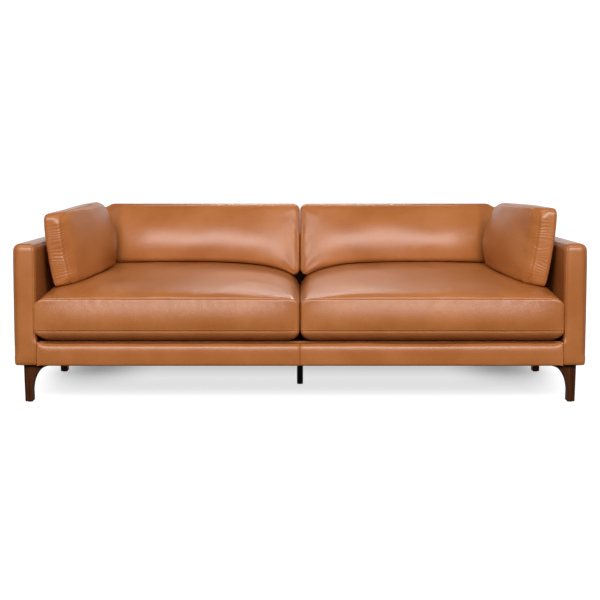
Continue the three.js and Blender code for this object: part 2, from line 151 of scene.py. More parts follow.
@dataclass(frozen=True)
class Skin:
    """A closed grid of quads: where each corner is on the plain block, and the faces."""

    points: Array
    quads: Array

    @staticmethod
    def of_block(x: Array, y: Array, z: Array) -> "Skin":
        """The skin of a block whose grid lines stand at the given values.

        The six sides are grids of two parameters each. Corners get a number from their three
        line numbers, so that sides share the corners along their common edges.

        Args:
            x: positions of the lines across.
            y: positions of the lines from front to rear.
            z: positions of the lines from bottom to top.

        Returns:
            The closed skin, with its faces outwards.
        """
        lines = (x, y, z)
        count = tuple(len(values) for values in lines)
        sides = []
        for axis in range(3):
            a, b = (axis + 1) % 3, (axis + 2) % 3
            i, j = np.meshgrid(np.arange(count[a]), np.arange(count[b]), indexing="ij")
            for end in (0, count[axis] - 1):
                index = np.empty((3,) + i.shape, int)
                index[axis], index[a], index[b] = end, i, j
                key = (index[0] * count[1] + index[1]) * count[2] + index[2]
                quad = np.stack([key[:-1, :-1], key[1:, :-1], key[1:, 1:], key[:-1, 1:]], -1)
                quad = quad.reshape(-1, 4)
                sides.append(quad if end else quad[:, ::-1])
        used, inverse = np.unique(np.concatenate(sides), return_inverse=True)
        i, rest = np.divmod(used, count[1] * count[2])
        j, k = np.divmod(rest, count[2])
        return Skin(np.stack([x[i], y[j], z[k]], 1), inverse.reshape(-1, 4))

    @staticmethod
    def of_size(half: Array, steps: Iterable[float], near: Iterable = (EDGE,) * 3) -> "Skin":
        """The skin of a block round the origin, with close grid lines near its edges.

        Args:
            half: half the block's size on each axis.
            steps: the widest spacing of the lines on each axis.
            near: distances from the edges that get a line of their own, for each axis.

        Returns:
            The closed skin.
        """
        return Skin.of_block(*(edge_lines(*values) for values in zip(half, steps, near)))

    def on(self, axis: int, end: int) -> Array:
        """Which corners lie on the side across an axis, at its low end, -1, or high end, 1."""
        place = end * self.points[:, axis]
        return place >= place.max() - ON_FACE

    def rim(self, half: Array, axes: list[int]) -> Array:
        """Distance to the nearest edge along the two named axes, for a block of that size."""
        return (half - np.abs(self.points))[:, axes].min(axis=1)


def round_off(points: Array, half: Array, radius: Array | float) -> Array:
    """Rounds the edges and corners of a block's skin.

    A point is split into its nearest place on the block shrunk by the radius, and the rest.
    The rest is scaled so that its length is its largest part, which turns the square edge
    zone into a round one.

    Args:
        points: places on the block's skin, measured from its middle.
        half: half the block's size on each axis.
        radius: the edge radius, one for all points or one for each.

    Returns:
        The rounded places.
    """
    radius = np.broadcast_to(np.asarray(radius, float), len(points))[:, None]
    core = np.clip(points, radius - half, half - radius)
    over = points - core
    length = np.maximum(np.linalg.norm(over, axis=1), 1e-9)
    return core + over * (np.abs(over).max(axis=1) / length)[:, None]


def normals(points: Array, quads: Array) -> Array:
    """Unit normals at the corners: each face's normal, added up over the faces around."""
    a, b, c, d = (points[quads[:, k]] for k in range(4))
    face = np.cross(c - a, d - b)
    total = np.stack(
        [np.bincount(quads.ravel(), np.repeat(face[:, k], 4), len(points)) for k in range(3)], 1
    )
    return total / np.maximum(np.linalg.norm(total, axis=1, keepdims=True), 1e-12)


def push(points: Array, quads: Array, amount: Array) -> Array:
    """Moves each corner outwards along its normal by its amount."""
    return points + normals(points, quads) * amount[:, None]


def lathe(profile: Array, sides: int) -> tuple[Array, Array]:
    """A round piece: a profile of radius and height, turned about the upright axis.

    Args:
        profile: rows of radius and height, from the lower pole to the upper pole.
        sides: how many steps the turn has.

    Returns:
        Corner places and quads, closed at both poles by very small rings.
    """
    angle = np.arange(sides) * 2.0 * np.pi / sides
    radius, height = profile[:, 0], profile[:, 1]
    x, y = radius[:, None] * np.cos(angle), radius[:, None] * np.sin(angle)
    points = np.stack([x, y, np.broadcast_to(height[:, None], x.shape)], -1).reshape(-1, 3)
    ring, step = np.meshgrid(np.arange(len(profile) - 1), np.arange(sides), indexing="ij")
    after = (step + 1) % sides
    quads = np.stack(
        [ring * sides + step, ring * sides + after, (ring + 1) * sides + after,
         (ring + 1) * sides + step], -1,
    ).reshape(-1, 4)
    return points, quads


# ---------------------------------------------------------------------------------- shader maths


class Wire:
    """One output socket, with the arithmetic that a pattern needs."""

    def __init__(self, nodes: "Nodes", socket: bpy.types.NodeSocket) -> None:
        """Wraps a socket of the given node tree."""
        self.nodes = nodes
        self.socket = socket

    def _math(self, operation: str, first: "Wire | float", second: "Wire | float") -> "Wire":
        """Adds one Math node for two values."""
        return self.nodes.add("ShaderNodeMath", {"operation": operation}, {0: first, 1: second})

    def __add__(self, other: "Wire | float") -> "Wire":
        """This value plus another."""
        return self._math("ADD", self, other)

    __radd__ = __add__

    def __sub__(self, other: "Wire | float") -> "Wire":
        """This value less another."""
        return self._math("SUBTRACT", self, other)

    def __rsub__(self, other: float) -> "Wire":
        """Another value less this one."""
        return self._math("SUBTRACT", other, self)

    def __mul__(self, other: "Wire | float") -> "Wire":
        """This value times another."""
        return self._math("MULTIPLY", self, other)

    __rmul__ = __mul__

    def ramp(self, start: float, end: float) -> "Wire":
        """A smooth step from 0 at start to 1 at end."""
        return self.nodes.add(
            "ShaderNodeMapRange",
            {"interpolation_type": "SMOOTHSTEP"},
            {"Value": self, "From Min": start, "From Max": end},
        )


class Nodes:
    """A node tree, with short calls that add to it."""

    def __init__(self, tree: bpy.types.NodeTree) -> None:
        """Takes the tree that the calls add to."""
        self.tree = tree

    def plug(self, socket: bpy.types.NodeSocket, value: "Wire | float | tuple") -> None:
        """Links a wire to a socket, or sets the socket's own value."""
        if isinstance(value, Wire):
            self.tree.links.new(value.socket, socket)
        else:
            socket.default_value = value

    def add(
        self, kind: str, settings: dict | None = None, inputs: dict | None = None,
        output: int | str = 0,
    ) -> Wire:
        """Adds a node.

        Args:
            kind: the node's type.
            settings: properties that are set first.
            inputs: values or wires by socket name or number.
            output: which output to return.

        Returns:
            The chosen output.
        """
        node = self.tree.nodes.new(kind)
        for key, value in (settings or {}).items():
            setattr(node, key, value)
        for key, value in (inputs or {}).items():
            self.plug(node.inputs[key], value)
        return Wire(self, node.outputs[output])

    def split(self, vector: Wire) -> list[Wire]:
        """The three parts of a vector."""
        node = self.tree.nodes.new("ShaderNodeSeparateXYZ")
        self.plug(node.inputs[0], vector)
        return [Wire(self, part) for part in node.outputs]

    def place(self, scale: tuple[float, float, float] = (1.0, 1.0, 1.0)) -> Wire:
        """Object coordinates, stretched by a scale on each axis."""
        coordinates = self.add("ShaderNodeTexCoord", output="Object")
        return self.add("ShaderNodeMapping", inputs={"Vector": coordinates, "Scale": scale})

    def noise(self, place: Wire, scale: float, detail: float = 3.0, rough: float = 0.5) -> Wire:
        """Cloudy noise from 0 to 1; scale is in features per metre."""
        inputs = {"Vector": place, "Scale": scale, "Detail": detail, "Roughness": rough}
        return self.add("ShaderNodeTexNoise", inputs=inputs)

    def cells(self, place: Wire, scale: float) -> Wire:
        """Distance within round cells; scale is in cells per metre."""
        return self.add("ShaderNodeTexVoronoi", inputs={"Vector": place, "Scale": scale})

    def attribute(self, name: str) -> Wire:
        """A value that the piece's own mesh carries."""
        return self.add("ShaderNodeAttribute", {"attribute_name": name}, output="Fac")

    def blend(self, factor: Wire | float, first: Wire | tuple, second: Wire | tuple) -> Wire:
        """A colour between two colours."""
        inputs = {0: factor, 6: first, 7: second}
        return self.add("ShaderNodeMix", {"data_type": "RGBA"}, inputs, 2)

    def bump(self, height: Wire, depth: float, under: Wire | None = None) -> Wire:
        """A relief of the given depth in metres, on top of another one."""
        inputs = {"Height": height, "Distance": depth, "Strength": 1.0}
        if under is not None:
            inputs["Normal"] = under
        return self.add("ShaderNodeBump", inputs=inputs)


class Paint(Nodes):
    """The node tree of one material."""

    def __init__(self, name: str) -> None:
        """Starts an empty material with its output and shader."""
        self.material = bpy.data.materials.new(name)
        self.material.use_nodes = True
        super().__init__(self.material.node_tree)
        self.tree.nodes.clear()
        output = self.tree.nodes.new("ShaderNodeOutputMaterial")
        self.shader = self.tree.nodes.new("ShaderNodeBsdfPrincipled")
        self.tree.links.new(self.shader.outputs[0], output.inputs["Surface"])

    def shade(self, **sockets: "Wire | float | tuple") -> bpy.types.Material:
        """Sets the shader's sockets, whose names are given with _ for each space."""
        for name, value in sockets.items():
            self.plug(self.shader.inputs[name.replace("_", " ")], value)
        return self.material


def rgb(red: float, green: float, blue: float) -> tuple[float, float, float, float]:
    """A linear colour, opaque."""
    return (red, green, blue, 1.0)


# --------------------------------------------------------------------------------------- finishes


@dataclass(frozen=True)
class Leather:
    """Full-grain aniline leather, soft and slightly waxy."""

    name: str
    colour: tuple = rgb(0.345, 0.107, 0.0225)
    pale: tuple = rgb(0.405, 0.138, 0.036)
    deep: tuple = rgb(0.19, 0.048, 0.009)
    roughness: float = 0.34

    def material(self) -> bpy.types.Material:
        """Cloudy dye, pores in small cells, fine creases, darker seams, and paler edges and seam
        lips that are partly wear and partly painted highlight.
        """
        n = Paint(self.name)
        place = n.place()
        cloud = n.noise(place, 5.5, 4.0, 0.55)
        fleck = n.noise(place, 240.0, 2.0, 0.6)
        tone = n.blend(cloud.ramp(0.30, 0.75), self.colour, self.pale)
        tone = n.blend(fleck.ramp(0.55, 0.80) * 0.22, tone, self.deep)
        # Paler along edges and seam lips: partly wear, partly a painted highlight where the lips
        # catch the light.
        tone = n.blend(n.attribute("wear_and_highlight") * 0.55, tone, self.pale)
        tone = n.blend(n.attribute("seam") * 0.3, tone, self.deep)
        rough = self.roughness + (cloud - 0.5) * 0.12 + (fleck - 0.5) * 0.08
        pores = n.cells(place, 620.0)
        grain = n.noise(place, 330.0, 5.0, 0.62)
        crease = n.noise(n.place((1.0, 1.0, 0.35)), 75.0, 5.0, 0.6)
        normal = n.bump(crease, 0.0006)
        normal = n.bump(grain, 0.00035, normal)
        normal = n.bump(pores, 0.00022, normal)
        return n.shade(
            Base_Color=tone, Roughness=rough, Normal=normal,
            IOR=1.5, Coat_Weight=0.06, Coat_Roughness=0.28,
        )


@dataclass(frozen=True)
class Wood:
    """Wood with rings drawn out along one axis."""

    name: str
    light: tuple
    dark: tuple
    roughness: float
    along: tuple = (1.0, 1.0, 0.06)

    def material(self) -> bpy.types.Material:
        """Long streaks of two widths, with fine open pores along the grain."""
        n = Paint(self.name)
        place = n.place(self.along)
        figure = n.noise(place, 60.0, 4.0, 0.55)
        streak = n.noise(place, 240.0, 5.0, 0.65)
        pore = n.noise(place, 900.0, 2.0, 0.5)
        tone = n.blend((figure * 0.6 + streak * 0.5).ramp(0.35, 0.75), self.dark, self.light)
        tone = n.blend(pore.ramp(0.58, 0.75) * 0.5, tone, self.dark)
        relief = streak * 0.6 + pore * 0.4
        return n.shade(
            Base_Color=tone, Roughness=self.roughness + streak * 0.15,
            Normal=n.bump(relief, 0.0004), IOR=1.5, Specular_IOR_Level=0.12,
        )


@dataclass(frozen=True)
class Board:
    """Pressed fibre board, smooth on one side."""

    name: str
    light: tuple = rgb(0.30, 0.17, 0.09)
    dark: tuple = rgb(0.16, 0.08, 0.04)

    def material(self) -> bpy.types.Material:
        """Short matted fibres in two browns."""
        n = Paint(self.name)
        place = n.place()
        fibre = n.noise(place, 420.0, 5.0, 0.7)
        cloud = n.noise(place, 14.0, 3.0)
        tone = n.blend((fibre * 0.7 + cloud * 0.3).ramp(0.3, 0.7), self.dark, self.light)
        return n.shade(
            Base_Color=tone, Roughness=0.7 + fibre * 0.15, Normal=n.bump(fibre, 0.0002)
        )


@dataclass(frozen=True)
class Cloth:
    """A plain cloth of fine crossing threads."""

    name: str
    colour: tuple
    thread: tuple
    pitch: float = 900.0
    relief: float = 0.00025

    def material(self) -> bpy.types.Material:
        """Two sets of sine ribs at right angles, with slubs and a little fading."""
        n = Paint(self.name)
        place = n.place()
        threads = {"Vector": place, "Scale": self.pitch / 20.0, "Distortion": 0.6}
        across = n.add("ShaderNodeTexWave", {"bands_direction": "X"}, threads)
        along = n.add("ShaderNodeTexWave", {"bands_direction": "Y"}, threads)
        weave = across * along
        slub = n.noise(place, 130.0, 4.0, 0.6)
        fade = n.noise(place, 6.0, 3.0)
        tone = n.blend((weave * 0.6 + slub * 0.5).ramp(0.15, 0.85), self.colour, self.thread)
        tone = n.blend(fade.ramp(0.4, 0.8) * 0.25, tone, self.thread)
        return n.shade(
            Base_Color=tone, Roughness=0.85 + slub * 0.1,
            Normal=n.bump(weave + slub * 0.5, self.relief),
        )


@dataclass(frozen=True)
class Metal:
    """Steel, bare or under black powder coat."""

    name: str
    colour: tuple
    roughness: float
    metallic: float
    grain: float = 700.0

    def material(self) -> bpy.types.Material:
        """Fine mottling in colour and gloss, with a shallow texture."""
        n = Paint(self.name)
        place = n.place()
        spot = n.noise(place, self.grain, 3.0, 0.6)
        cloud = n.noise(place, 30.0, 3.0)
        dull = tuple(value * 0.55 for value in self.colour[:3]) + (1.0,)
        tone = n.blend((spot * 0.5 + cloud * 0.5).ramp(0.3, 0.7), dull, self.colour)
        return n.shade(
            Base_Color=tone, Metallic=self.metallic,
            Roughness=self.roughness + (spot - 0.5) * 0.2, Normal=n.bump(spot, 0.00008),
        )


@dataclass(frozen=True)
class Plastic:
    """Moulded black plastic with a fine spark texture."""

    name: str
    colour: tuple = rgb(0.014, 0.013, 0.012)

    def material(self) -> bpy.types.Material:
        """Even dark colour with faint scuffs and a fine moulded texture."""
        n = Paint(self.name)
        place = n.place()
        spark = n.noise(place, 1500.0, 2.0, 0.6)
        scuff = n.noise(place, 40.0, 4.0, 0.6)
        tone = n.blend(scuff.ramp(0.5, 0.8) * 0.3, self.colour, rgb(0.05, 0.048, 0.045))
        return n.shade(
            Base_Color=tone, Roughness=0.5 + scuff * 0.2, Normal=n.bump(spark, 0.00005)
        )


class Finish(Enum):
    """The sofa's finishes; the value is the record's material slot."""

    LEATHER = "tan_leather"
    WALNUT = "walnut"
    TIMBER = "timber"
    HARDBOARD = "hardboard"
    SPRING = "spring_steel"
    DECK = "deck_cloth"
    DUST = "dust_cloth"
    STEEL = "black_steel"
    PLASTIC = "black_plastic"


MAKERS = {
    Finish.LEATHER: Leather("tan_leather"),
    Finish.WALNUT: Wood(
        "walnut", rgb(0.082, 0.021, 0.0035), rgb(0.028, 0.007, 0.0012), 0.55
    ),
    Finish.TIMBER: Wood(
        "timber", rgb(0.60, 0.40, 0.20), rgb(0.42, 0.25, 0.11), 0.62, along=(0.06, 1.0, 1.0)
    ),
    Finish.HARDBOARD: Board("hardboard"),
    Finish.SPRING: Metal("spring_steel", rgb(0.42, 0.42, 0.43), 0.34, 1.0),
    Finish.DECK: Cloth("deck_cloth", rgb(0.13, 0.062, 0.028), rgb(0.26, 0.13, 0.06)),
    Finish.DUST: Cloth("dust_cloth", rgb(0.012, 0.011, 0.010), rgb(0.035, 0.033, 0.031)),
    Finish.STEEL: Metal("black_steel", rgb(0.022, 0.022, 0.023), 0.36, 0.4),
    Finish.PLASTIC: Plastic("black_plastic"),
}
MATERIALS: dict[Finish, bpy.types.Material] = {}


def material(finish: Finish) -> bpy.types.Material:
    """The finish's material, made the first time that it is asked for."""
    if finish not in MATERIALS:
        MATERIALS[finish] = MAKERS[finish].material()
    return MATERIALS[finish]


# ------------------------------------------------------------------------------------- workshop


def make_mesh(
    name: str, points: Array, quads: Array, side: int = 1, values: dict[str, Array] | None = None,
) -> bpy.types.Object:
    """Turns a surface into a smooth mesh object at the origin.

    Args:
        name: the piece's name.
        points: corner places in millimetres, as for the right-hand half.
        quads: four corner numbers for each face, outwards.
        side: -1 mirrors the piece to the left-hand half.
        values: values that the mesh carries for its finish.

    Returns:
        The new object.
    """
    place = points * MM
    if side < 0:
        place = place * np.array([-1.0, 1.0, 1.0])
        quads = quads[:, ::-1]
    mesh = bpy.data.meshes.new(name)
    mesh.vertices.add(len(place))
    mesh.vertices.foreach_set("co", place.astype(np.float32).ravel())
    mesh.loops.add(quads.size)
    mesh.loops.foreach_set("vertex_index", quads.astype(np.int32).ravel())
    mesh.polygons.add(len(quads))
    mesh.polygons.foreach_set("loop_start", np.arange(0, quads.size, 4, dtype=np.int32))
    mesh.polygons.foreach_set("use_smooth", np.ones(len(quads), bool))
    mesh.update(calc_edges=True)
    for key, value in (values or {}).items():
        carried = mesh.attributes.new(key, "FLOAT", "POINT")
        carried.data.foreach_set("value", np.asarray(value, np.float32))
    mesh.validate()
    piece = bpy.data.objects.new(name, mesh)
    bpy.context.scene.collection.objects.link(piece)
    return piece


def dress(
    piece: bpy.types.Object, finish: Finish, body: str, nodes: Iterable[str] = (),
) -> bpy.types.Object:
    """Gives a piece its finish, its body and the nodes that it stands for.

    Args:
        piece: the new piece.
        finish: its finish.
        body: the body it moves with.
        nodes: CAD nodes that it replaces.

    Returns:
        The same piece.
    """
    piece.data.materials.clear()
    piece.data.materials.append(material(finish))
    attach(piece, body)
    nodes = list(nodes)
    if nodes:
        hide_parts(*nodes)
    LOG.info("%s: %d faces, %s, on %s", piece.name, len(piece.data.polygons), finish.value, body)
    return piece


def box_mm(node: str, side: int = 1) -> tuple[Array, Array]:
    """A node's lowest and highest corners in millimetres, mirrored to the right-hand half."""
    low, high = (np.array(corner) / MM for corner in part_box(node))
    if side < 0:
        low[0], high[0] = -high[0], -low[0]
    return low, high


# ------------------------------------------------------------------------------------- cushions

# In the classes below, sizes are in millimetres. A seam is its valley's depth and its lips'
# height, and grid steps are the widest spacings across, from front to rear, and upwards.
ARM_EDGE = 22.0  # radius of the arm covers' upright inner edge above the rail
SEAM_VALLEY = 2.2  # half width of a seam's valley
SEAM_LIP = (6.0, 4.0)  # from a seam to the top of its lip, and the lip's half width
REST_GAP = 1.5  # between a seat cushion's smooth crown and what lies on it

# How far each seat cushion swells over its arm in front.
SEAT_LIPS = {Side.LEFT: 16.0, Side.RIGHT: 5.0}

# Heights of the side cushions' front and rear ends; the loose fill has settled unevenly.
CUSHION_TOPS = {Side.LEFT: (336.0, 381.6), Side.RIGHT: (360.0, 375.0)}


def seam_relief(distance: Array, depth: float, lip: float) -> Array:
    """A sewn seam across its line: a narrow valley with a soft lip on each side.

    Args:
        distance: distance from the seam.
        depth: how deep the valley is.
        lip: how high the lips are.

    Returns:
        The height of the relief.
    """
    away = np.abs(distance)
    return -depth * bell(away, SEAM_VALLEY) + lip * bell(away - SEAM_LIP[0], SEAM_LIP[1])


def marks(distances: Iterable[Array], away: float, width: float) -> Array:
    """Bands beside one or more seams, for the finish.

    Args:
        distances: distance from each seam.
        away: how far from the seams the bands run.
        width: half width of the bands.

    Returns:
        Values from 0 to 1.
    """
    return np.clip(sum(bell(distance - away, width) for distance in distances), 0.0, 1.0)


def leather_piece(
    node: str, body: str, place: Array, skin: Skin, side: int, seam: Array,
    wear_and_highlight: Array,
) -> bpy.types.Object:
    """Makes and dresses a leather piece that stands for a CAD node.

    Args:
        node: the node, which also gives the piece its name.
        body: the body it moves with.
        place: corner places in millimetres.
        skin: the faces.
        side: -1 mirrors the piece to the left-hand half.
        seam: where the leather is darker, along its seams.
        wear_and_highlight: where it is paler, along its edges and seam lips; partly wear, partly a
            painted highlight where they catch the light.

    Returns:
        The new piece.
    """
    piece = make_mesh(f"{node}_leather", place, skin.quads, side, {"seam": seam, "wear_and_highlight": wear_and_highlight})
    return dress(piece, Finish.LEATHER, body, [node])


@dataclass
class SeatCushion:
    """A boxed seat cushion: a square border, a low crown, and a panel that turns under."""

    side: Side
    lip: float
    border: float = 173.0
    crown: float = 123.0
    lower_seam: float = 45.0
    corner: float = 14.0
    border_bulge: float = 9.0
    border_lean: float = 9.0
    tuck_under: float = 70.0
    inner_swell: float = 0.7
    droop: float = 15.0
    droop_width: float = 19.0
    top_seam: tuple = (1.3, 0.35)
    low_seam: tuple = (1.1, 0.15)
    fold_depth: float = 0.8
    dent_depth: float = 2.2
    grid_step: float = 9.0

    def __post_init__(self) -> None:
        """Takes the cushion's room from its node."""
        self.node = f"{self.side.label}_seat_cushion"
        self.low, self.high = box_mm(self.node, self.side.value)
        self.middle, self.half = middle_and_half(self.low, self.high)
        self.seam_height = self.low[2] + self.border

    def top(self, x: Array, y: Array) -> Array:
        """Height of the top panel over a place in plan.

        Across, the lift is the root of 1 - n^3.4. From the front it rises as the 0.48th power
        of the depth, and it falls at the rear as the root of 1 - depth^16.

        Args:
            x: places across.
            y: places from front to rear.

        Returns:
            Heights above the floor.
        """
        n = np.clip((x - self.middle[0]) / self.half[0], -1.0, 1.0)
        depth = np.clip((y - self.low[1]) / (2.0 * self.half[1]), 0.0, 1.0)
        along = depth**0.48 * np.sqrt(1.0 - depth**16)
        return self.seam_height + self.crown * np.sqrt(1.0 - np.abs(n) ** 3.4) * along

    def side_swell(self, place: Array, n: Array, q: Array) -> Array:
        """How far the sides swell outwards.

        In front of the arm's round edge the outer side bulges over it, as far as a circle of
        the edge's radius leaves room, and less towards the top seam. The inner side swells a
        little towards its neighbour.

        Args:
            place: corner places.
            n: place across, from -1 at the inner side to 1 at the outer side.
            q: height on the border, from 0 at the lower seam to 1 at the top seam.

        Returns:
            The shift outwards of each corner, along x.
        """
        behind = np.clip(place[:, 1] - self.low[1] - SEAT_PROUD, -SEAT_PROUD, ARM_EDGE)
        room = ARM_EDGE - np.sqrt(ARM_EDGE**2 - np.clip(ARM_EDGE - behind, 0.0, ARM_EDGE) ** 2)
        low_down = smooth(place[:, 2] - self.low[2], 5.0, 50.0)
        lip = np.minimum(self.lip, room - REST_GAP).clip(0.0) * low_down
        lip = lip * (1.0 - 0.5 * smooth(q, 0.86, 1.0))
        inner = self.inner_swell * smooth(-n, 0.93, 1.0) * smooth(q, 0.0, 0.3)
        return lip * smooth(n, 0.93, 1.0) - inner

    def grid(self) -> Skin:
        """The block's skin, whose lines crowd at the edges and at the seams."""
        fine = 60.0 * (1.0 - np.cos(np.linspace(0.0, np.pi / 2.0, 15)))
        seam, border = self.lower_seam, self.border
        z = merged(
            seam * (1.0 - np.cos(np.linspace(0.0, np.pi / 2.0, 9))),
            seam + np.array([-3.0, -1.2, 1.2, 3.0, 5.5, 9.0]),
            np.linspace(seam + 9.0, border - 9.0, 15),
            border - np.array([9.0, 6.0, 3.8, 2.2, 1.0, 0.0]),
        )
        x = edge_lines(self.half[0], self.grid_step, [*fine, 0.02, 0.08, 0.22])
        y = edge_lines(self.half[1], self.grid_step, [*fine, 0.004, 0.03, 0.12])
        return Skin.of_block(x, y, z)

    def build(self) -> bpy.types.Object:
        """Builds the cushion.

        In plan the block has round corners. Below the lower seam the outline draws in on a
        quarter circle, above it the border bulges, and the top panel takes the crown. The
        crown's outer and inner shoulders droop by a bell curve.
        """
        skin = self.grid()
        seam, half = self.lower_seam, self.half[:2]
        plan = skin.points * np.array([1.0, 1.0, 0.0])
        plan = round_off(plan, np.array([*half, FREE]), self.corner)[:, :2]
        h = skin.points[:, 2]
        under = np.clip(seam - h, 0.0, seam)
        inset = self.tuck_under * (1.0 - np.sqrt(np.maximum(1.0 - (under / seam) ** 2, 0.0)))
        q = np.clip((h - seam) / (self.border - seam), 0.0, 1.0)
        n = plan / half
        bulge = self.border_bulge * np.sin(np.pi * q**0.8) - self.border_lean * q
        bulge = bulge * smooth(-n[:, 1], 0.6, 1.0) * (1.0 - n[:, 0] ** 8)
        place = np.empty_like(skin.points)
        place[:, 0] = self.middle[0] + plan[:, 0] * (1.0 - inset / half[0])
        place[:, 1] = self.middle[1] + plan[:, 1] * (1.0 - inset / half[1]) - bulge
        is_top = skin.on(2, 1)
        crown = self.top(self.middle[0] + plan[:, 0], self.middle[1] + plan[:, 1])
        lift = np.where(is_top, crown - self.seam_height, 0.0)
        place[:, 2] = self.low[2] + h + lift
        place[:, 0] += self.side_swell(place, n[:, 0], q)
        from_side, from_end = (half - np.abs(plan)).T
        shoulder = bell(from_side, self.droop_width) * smooth(h / self.border, 0.5, 1.0)
        place[:, 2] -= self.droop * shoulder

        rim = np.maximum(np.minimum(from_side, from_end), 0.0)
        from_top = np.where(is_top, np.hypot(rim, lift), self.border - h)
        from_low = np.where(is_top | skin.on(2, -1), FAR, h - seam)
        relief = self.sewing(place, from_top, from_low)
        relief += self.fullness(place, from_top) * is_top
        place = push(place, skin.quads, relief)
        place[:, 2] = np.maximum(place[:, 2], self.low[2])
        seams = (from_top, from_low)
        return leather_piece(
            self.node, f"{self.side.label}_seat", place, skin, self.side.value,
            # The paler bands on the seam lips are partly wear and partly painted highlight.
            seam=marks(seams, 0.0, 2.0), wear_and_highlight=0.6 * marks(seams, 7.0, 4.0),
        )

    def sewing(self, place: Array, from_top: Array, from_low: Array) -> Array:
        """The two seams, with fine upright folds in the border beside them.

        Args:
            place: corner places.
            from_top: distance from the top seam.
            from_low: distance from the lower seam.

        Returns:
            The height of the relief.
        """
        relief = seam_relief(from_top, *self.top_seam) + seam_relief(from_low, *self.low_seam)
        folds = self.fold_depth * waves(place, 16.0, self.seed(), (1.0, 1.0, 9.0))
        near = bell(from_top, 26.0) + bell(from_low, 22.0)
        return relief + folds * near * smooth(from_top, 0.0, 5.0)

    def fullness(self, place: Array, from_top: Array) -> Array:
        """The top panel's broad dents, and short folds that its seam draws in.

        Args:
            place: corner places.
            from_top: distance from the top seam.

        Returns:
            The height of the relief, which fades out at the seam.
        """
        dents = self.dent_depth * waves(place, 240.0, self.seed() + 5)
        drawn = self.fold_depth * waves(place, 42.0, self.seed() + 9, (1.0, 3.0, 1.0))
        drawn = drawn * bell(from_top - 70.0, 60.0)
        return (dents + drawn) * smooth(from_top, 2.0, 30.0)

    def seed(self) -> int:
        """The seed of this side's waves."""
        return 20 + self.side.value


@dataclass
class BackCushion:
    """A reclined back cushion that rests on its seat cushion."""

    side: Side
    seat: SeatCushion
    base: float = 48.6
    rise: float = 315.0
    recline: float = 100.0
    bulge: float = 30.0
    sink: float = 16.0
    radius: float = 30.0
    front_at_seat: float = 590.0
    tuck: float = 66.0
    inner_gap: float = 2.5
    press: float = 1.2
    seam: tuple = (1.6, 0.6)
    fan_depth: float = 1.4
    fold_depth: float = 0.7
    dent_depth: float = 2.4
    grid_steps: tuple = (9.0, 9.0, 7.0)

    def build(self) -> bpy.types.Object:
        """Builds the cushion.

        The front face leans back as the 1.3rd power of the height, and swells by a product
        of 1 - n^4 across and a half sine upwards. Its outer end draws back behind the side
        cushion, and the top sinks there in two smooth steps. The inner end bulges towards its
        neighbour. The bottom follows the seat's crown.
        """
        node = f"{self.side.label}_back_cushion"
        low, high = box_mm(node, self.side.value)
        bottom = self.seat.seam_height + self.base
        top = bottom + self.rise
        front = self.seat.low[1] + SEAT_PROUD + self.front_at_seat
        half = np.array([(high[0] - low[0]) / 2.0, (high[1] - front) / 2.0, self.rise / 2.0])
        skin = Skin.of_size(half, self.grid_steps)
        n = round_off(skin.points, half, self.radius) / half
        across = n[:, 0]
        depth, up = np.clip((n[:, 1:] + 1.0) / 2.0, 0.0, 1.0).T
        full = (1.0 - across**4) * np.sin(np.pi * up)
        face = front + self.bulge + self.recline * up**1.3 - self.bulge * full
        behind = 0.45 * smooth(across, 0.25, 0.62) + 0.55 * smooth(across, 0.50, 0.64)
        face = face + self.tuck * behind
        press = np.sqrt(np.sin(np.pi * up).clip(0.0) * np.sin(np.pi * depth).clip(0.0))
        shift = -self.inner_gap - self.press * press
        place = np.empty_like(n)
        place[:, 0] = between(low[0], high[0], across) + shift * (1.0 - across) / 2.0
        place[:, 1] = between(face, high[1], n[:, 1])
        rest = self.seat.top(place[:, 0], place[:, 1]) + REST_GAP
        ground = np.maximum(rest, bottom)
        drawn_in = top - self.sink * (smooth(across, 0.60, 0.68) + smooth(across, 0.70, 1.0))
        place[:, 2] = ground + (drawn_in - ground) * up

        is_front = skin.on(1, -1)
        rim = skin.rim(half, [0, 2])
        from_front = np.where(is_front, rim, skin.points[:, 1] + half[1])
        from_rear = np.where(skin.on(1, 1), rim, half[1] - skin.points[:, 1])
        relief = seam_relief(from_front, *self.seam) + seam_relief(from_rear, *self.seam)
        relief += is_front * self.creases(place, skin, half, rim)
        place = push(place, skin.quads, relief)
        place[:, 2] = np.maximum(place[:, 2], rest - 0.5)
        return leather_piece(
            node, f"{self.side.label}_back", place, skin, self.side.value,
            # The paler band on the front seam's lip is partly wear and partly painted highlight.
            seam=marks((from_front, from_rear), 0.0, 2.2), wear_and_highlight=0.5 * bell(from_front - 7.0, 4.0),
        )

    def creases(self, place: Array, skin: Skin, half: Array, rim: Array) -> Array:
        """The front face's relief.

        Fans of creases run out of its corners, more at the lower ones, as a sine of the angle.
        Fine folds follow its rim, and broad dents its middle.

        Args:
            place: corner places.
            skin: the plain block.
            half: half the block's size.
            rim: distance from the face's rim.

        Returns:
            The height of the relief.
        """
        seed = 60 + self.side.value
        aside, _, above = (half - np.abs(skin.points)).T
        turn = np.arctan2(above, aside + 1e-6)
        fan = np.sin(turn * 9.0 + 3.0 * waves(place, 300.0, seed + 3))
        lower = 0.35 + 0.65 * smooth(-skin.points[:, 2] / half[2], -0.3, 0.3)
        fans = self.fan_depth * lower * fan * bell(np.hypot(aside, above) - 55.0, 45.0)
        folds = self.fold_depth * waves(place, 24.0, seed, (1.0, 1.0, 3.0))
        dents = self.dent_depth * waves(place, 210.0, seed + 5)
        return fans + folds * bell(rim - 12.0, 26.0) + dents * smooth(rim, 5.0, 60.0)


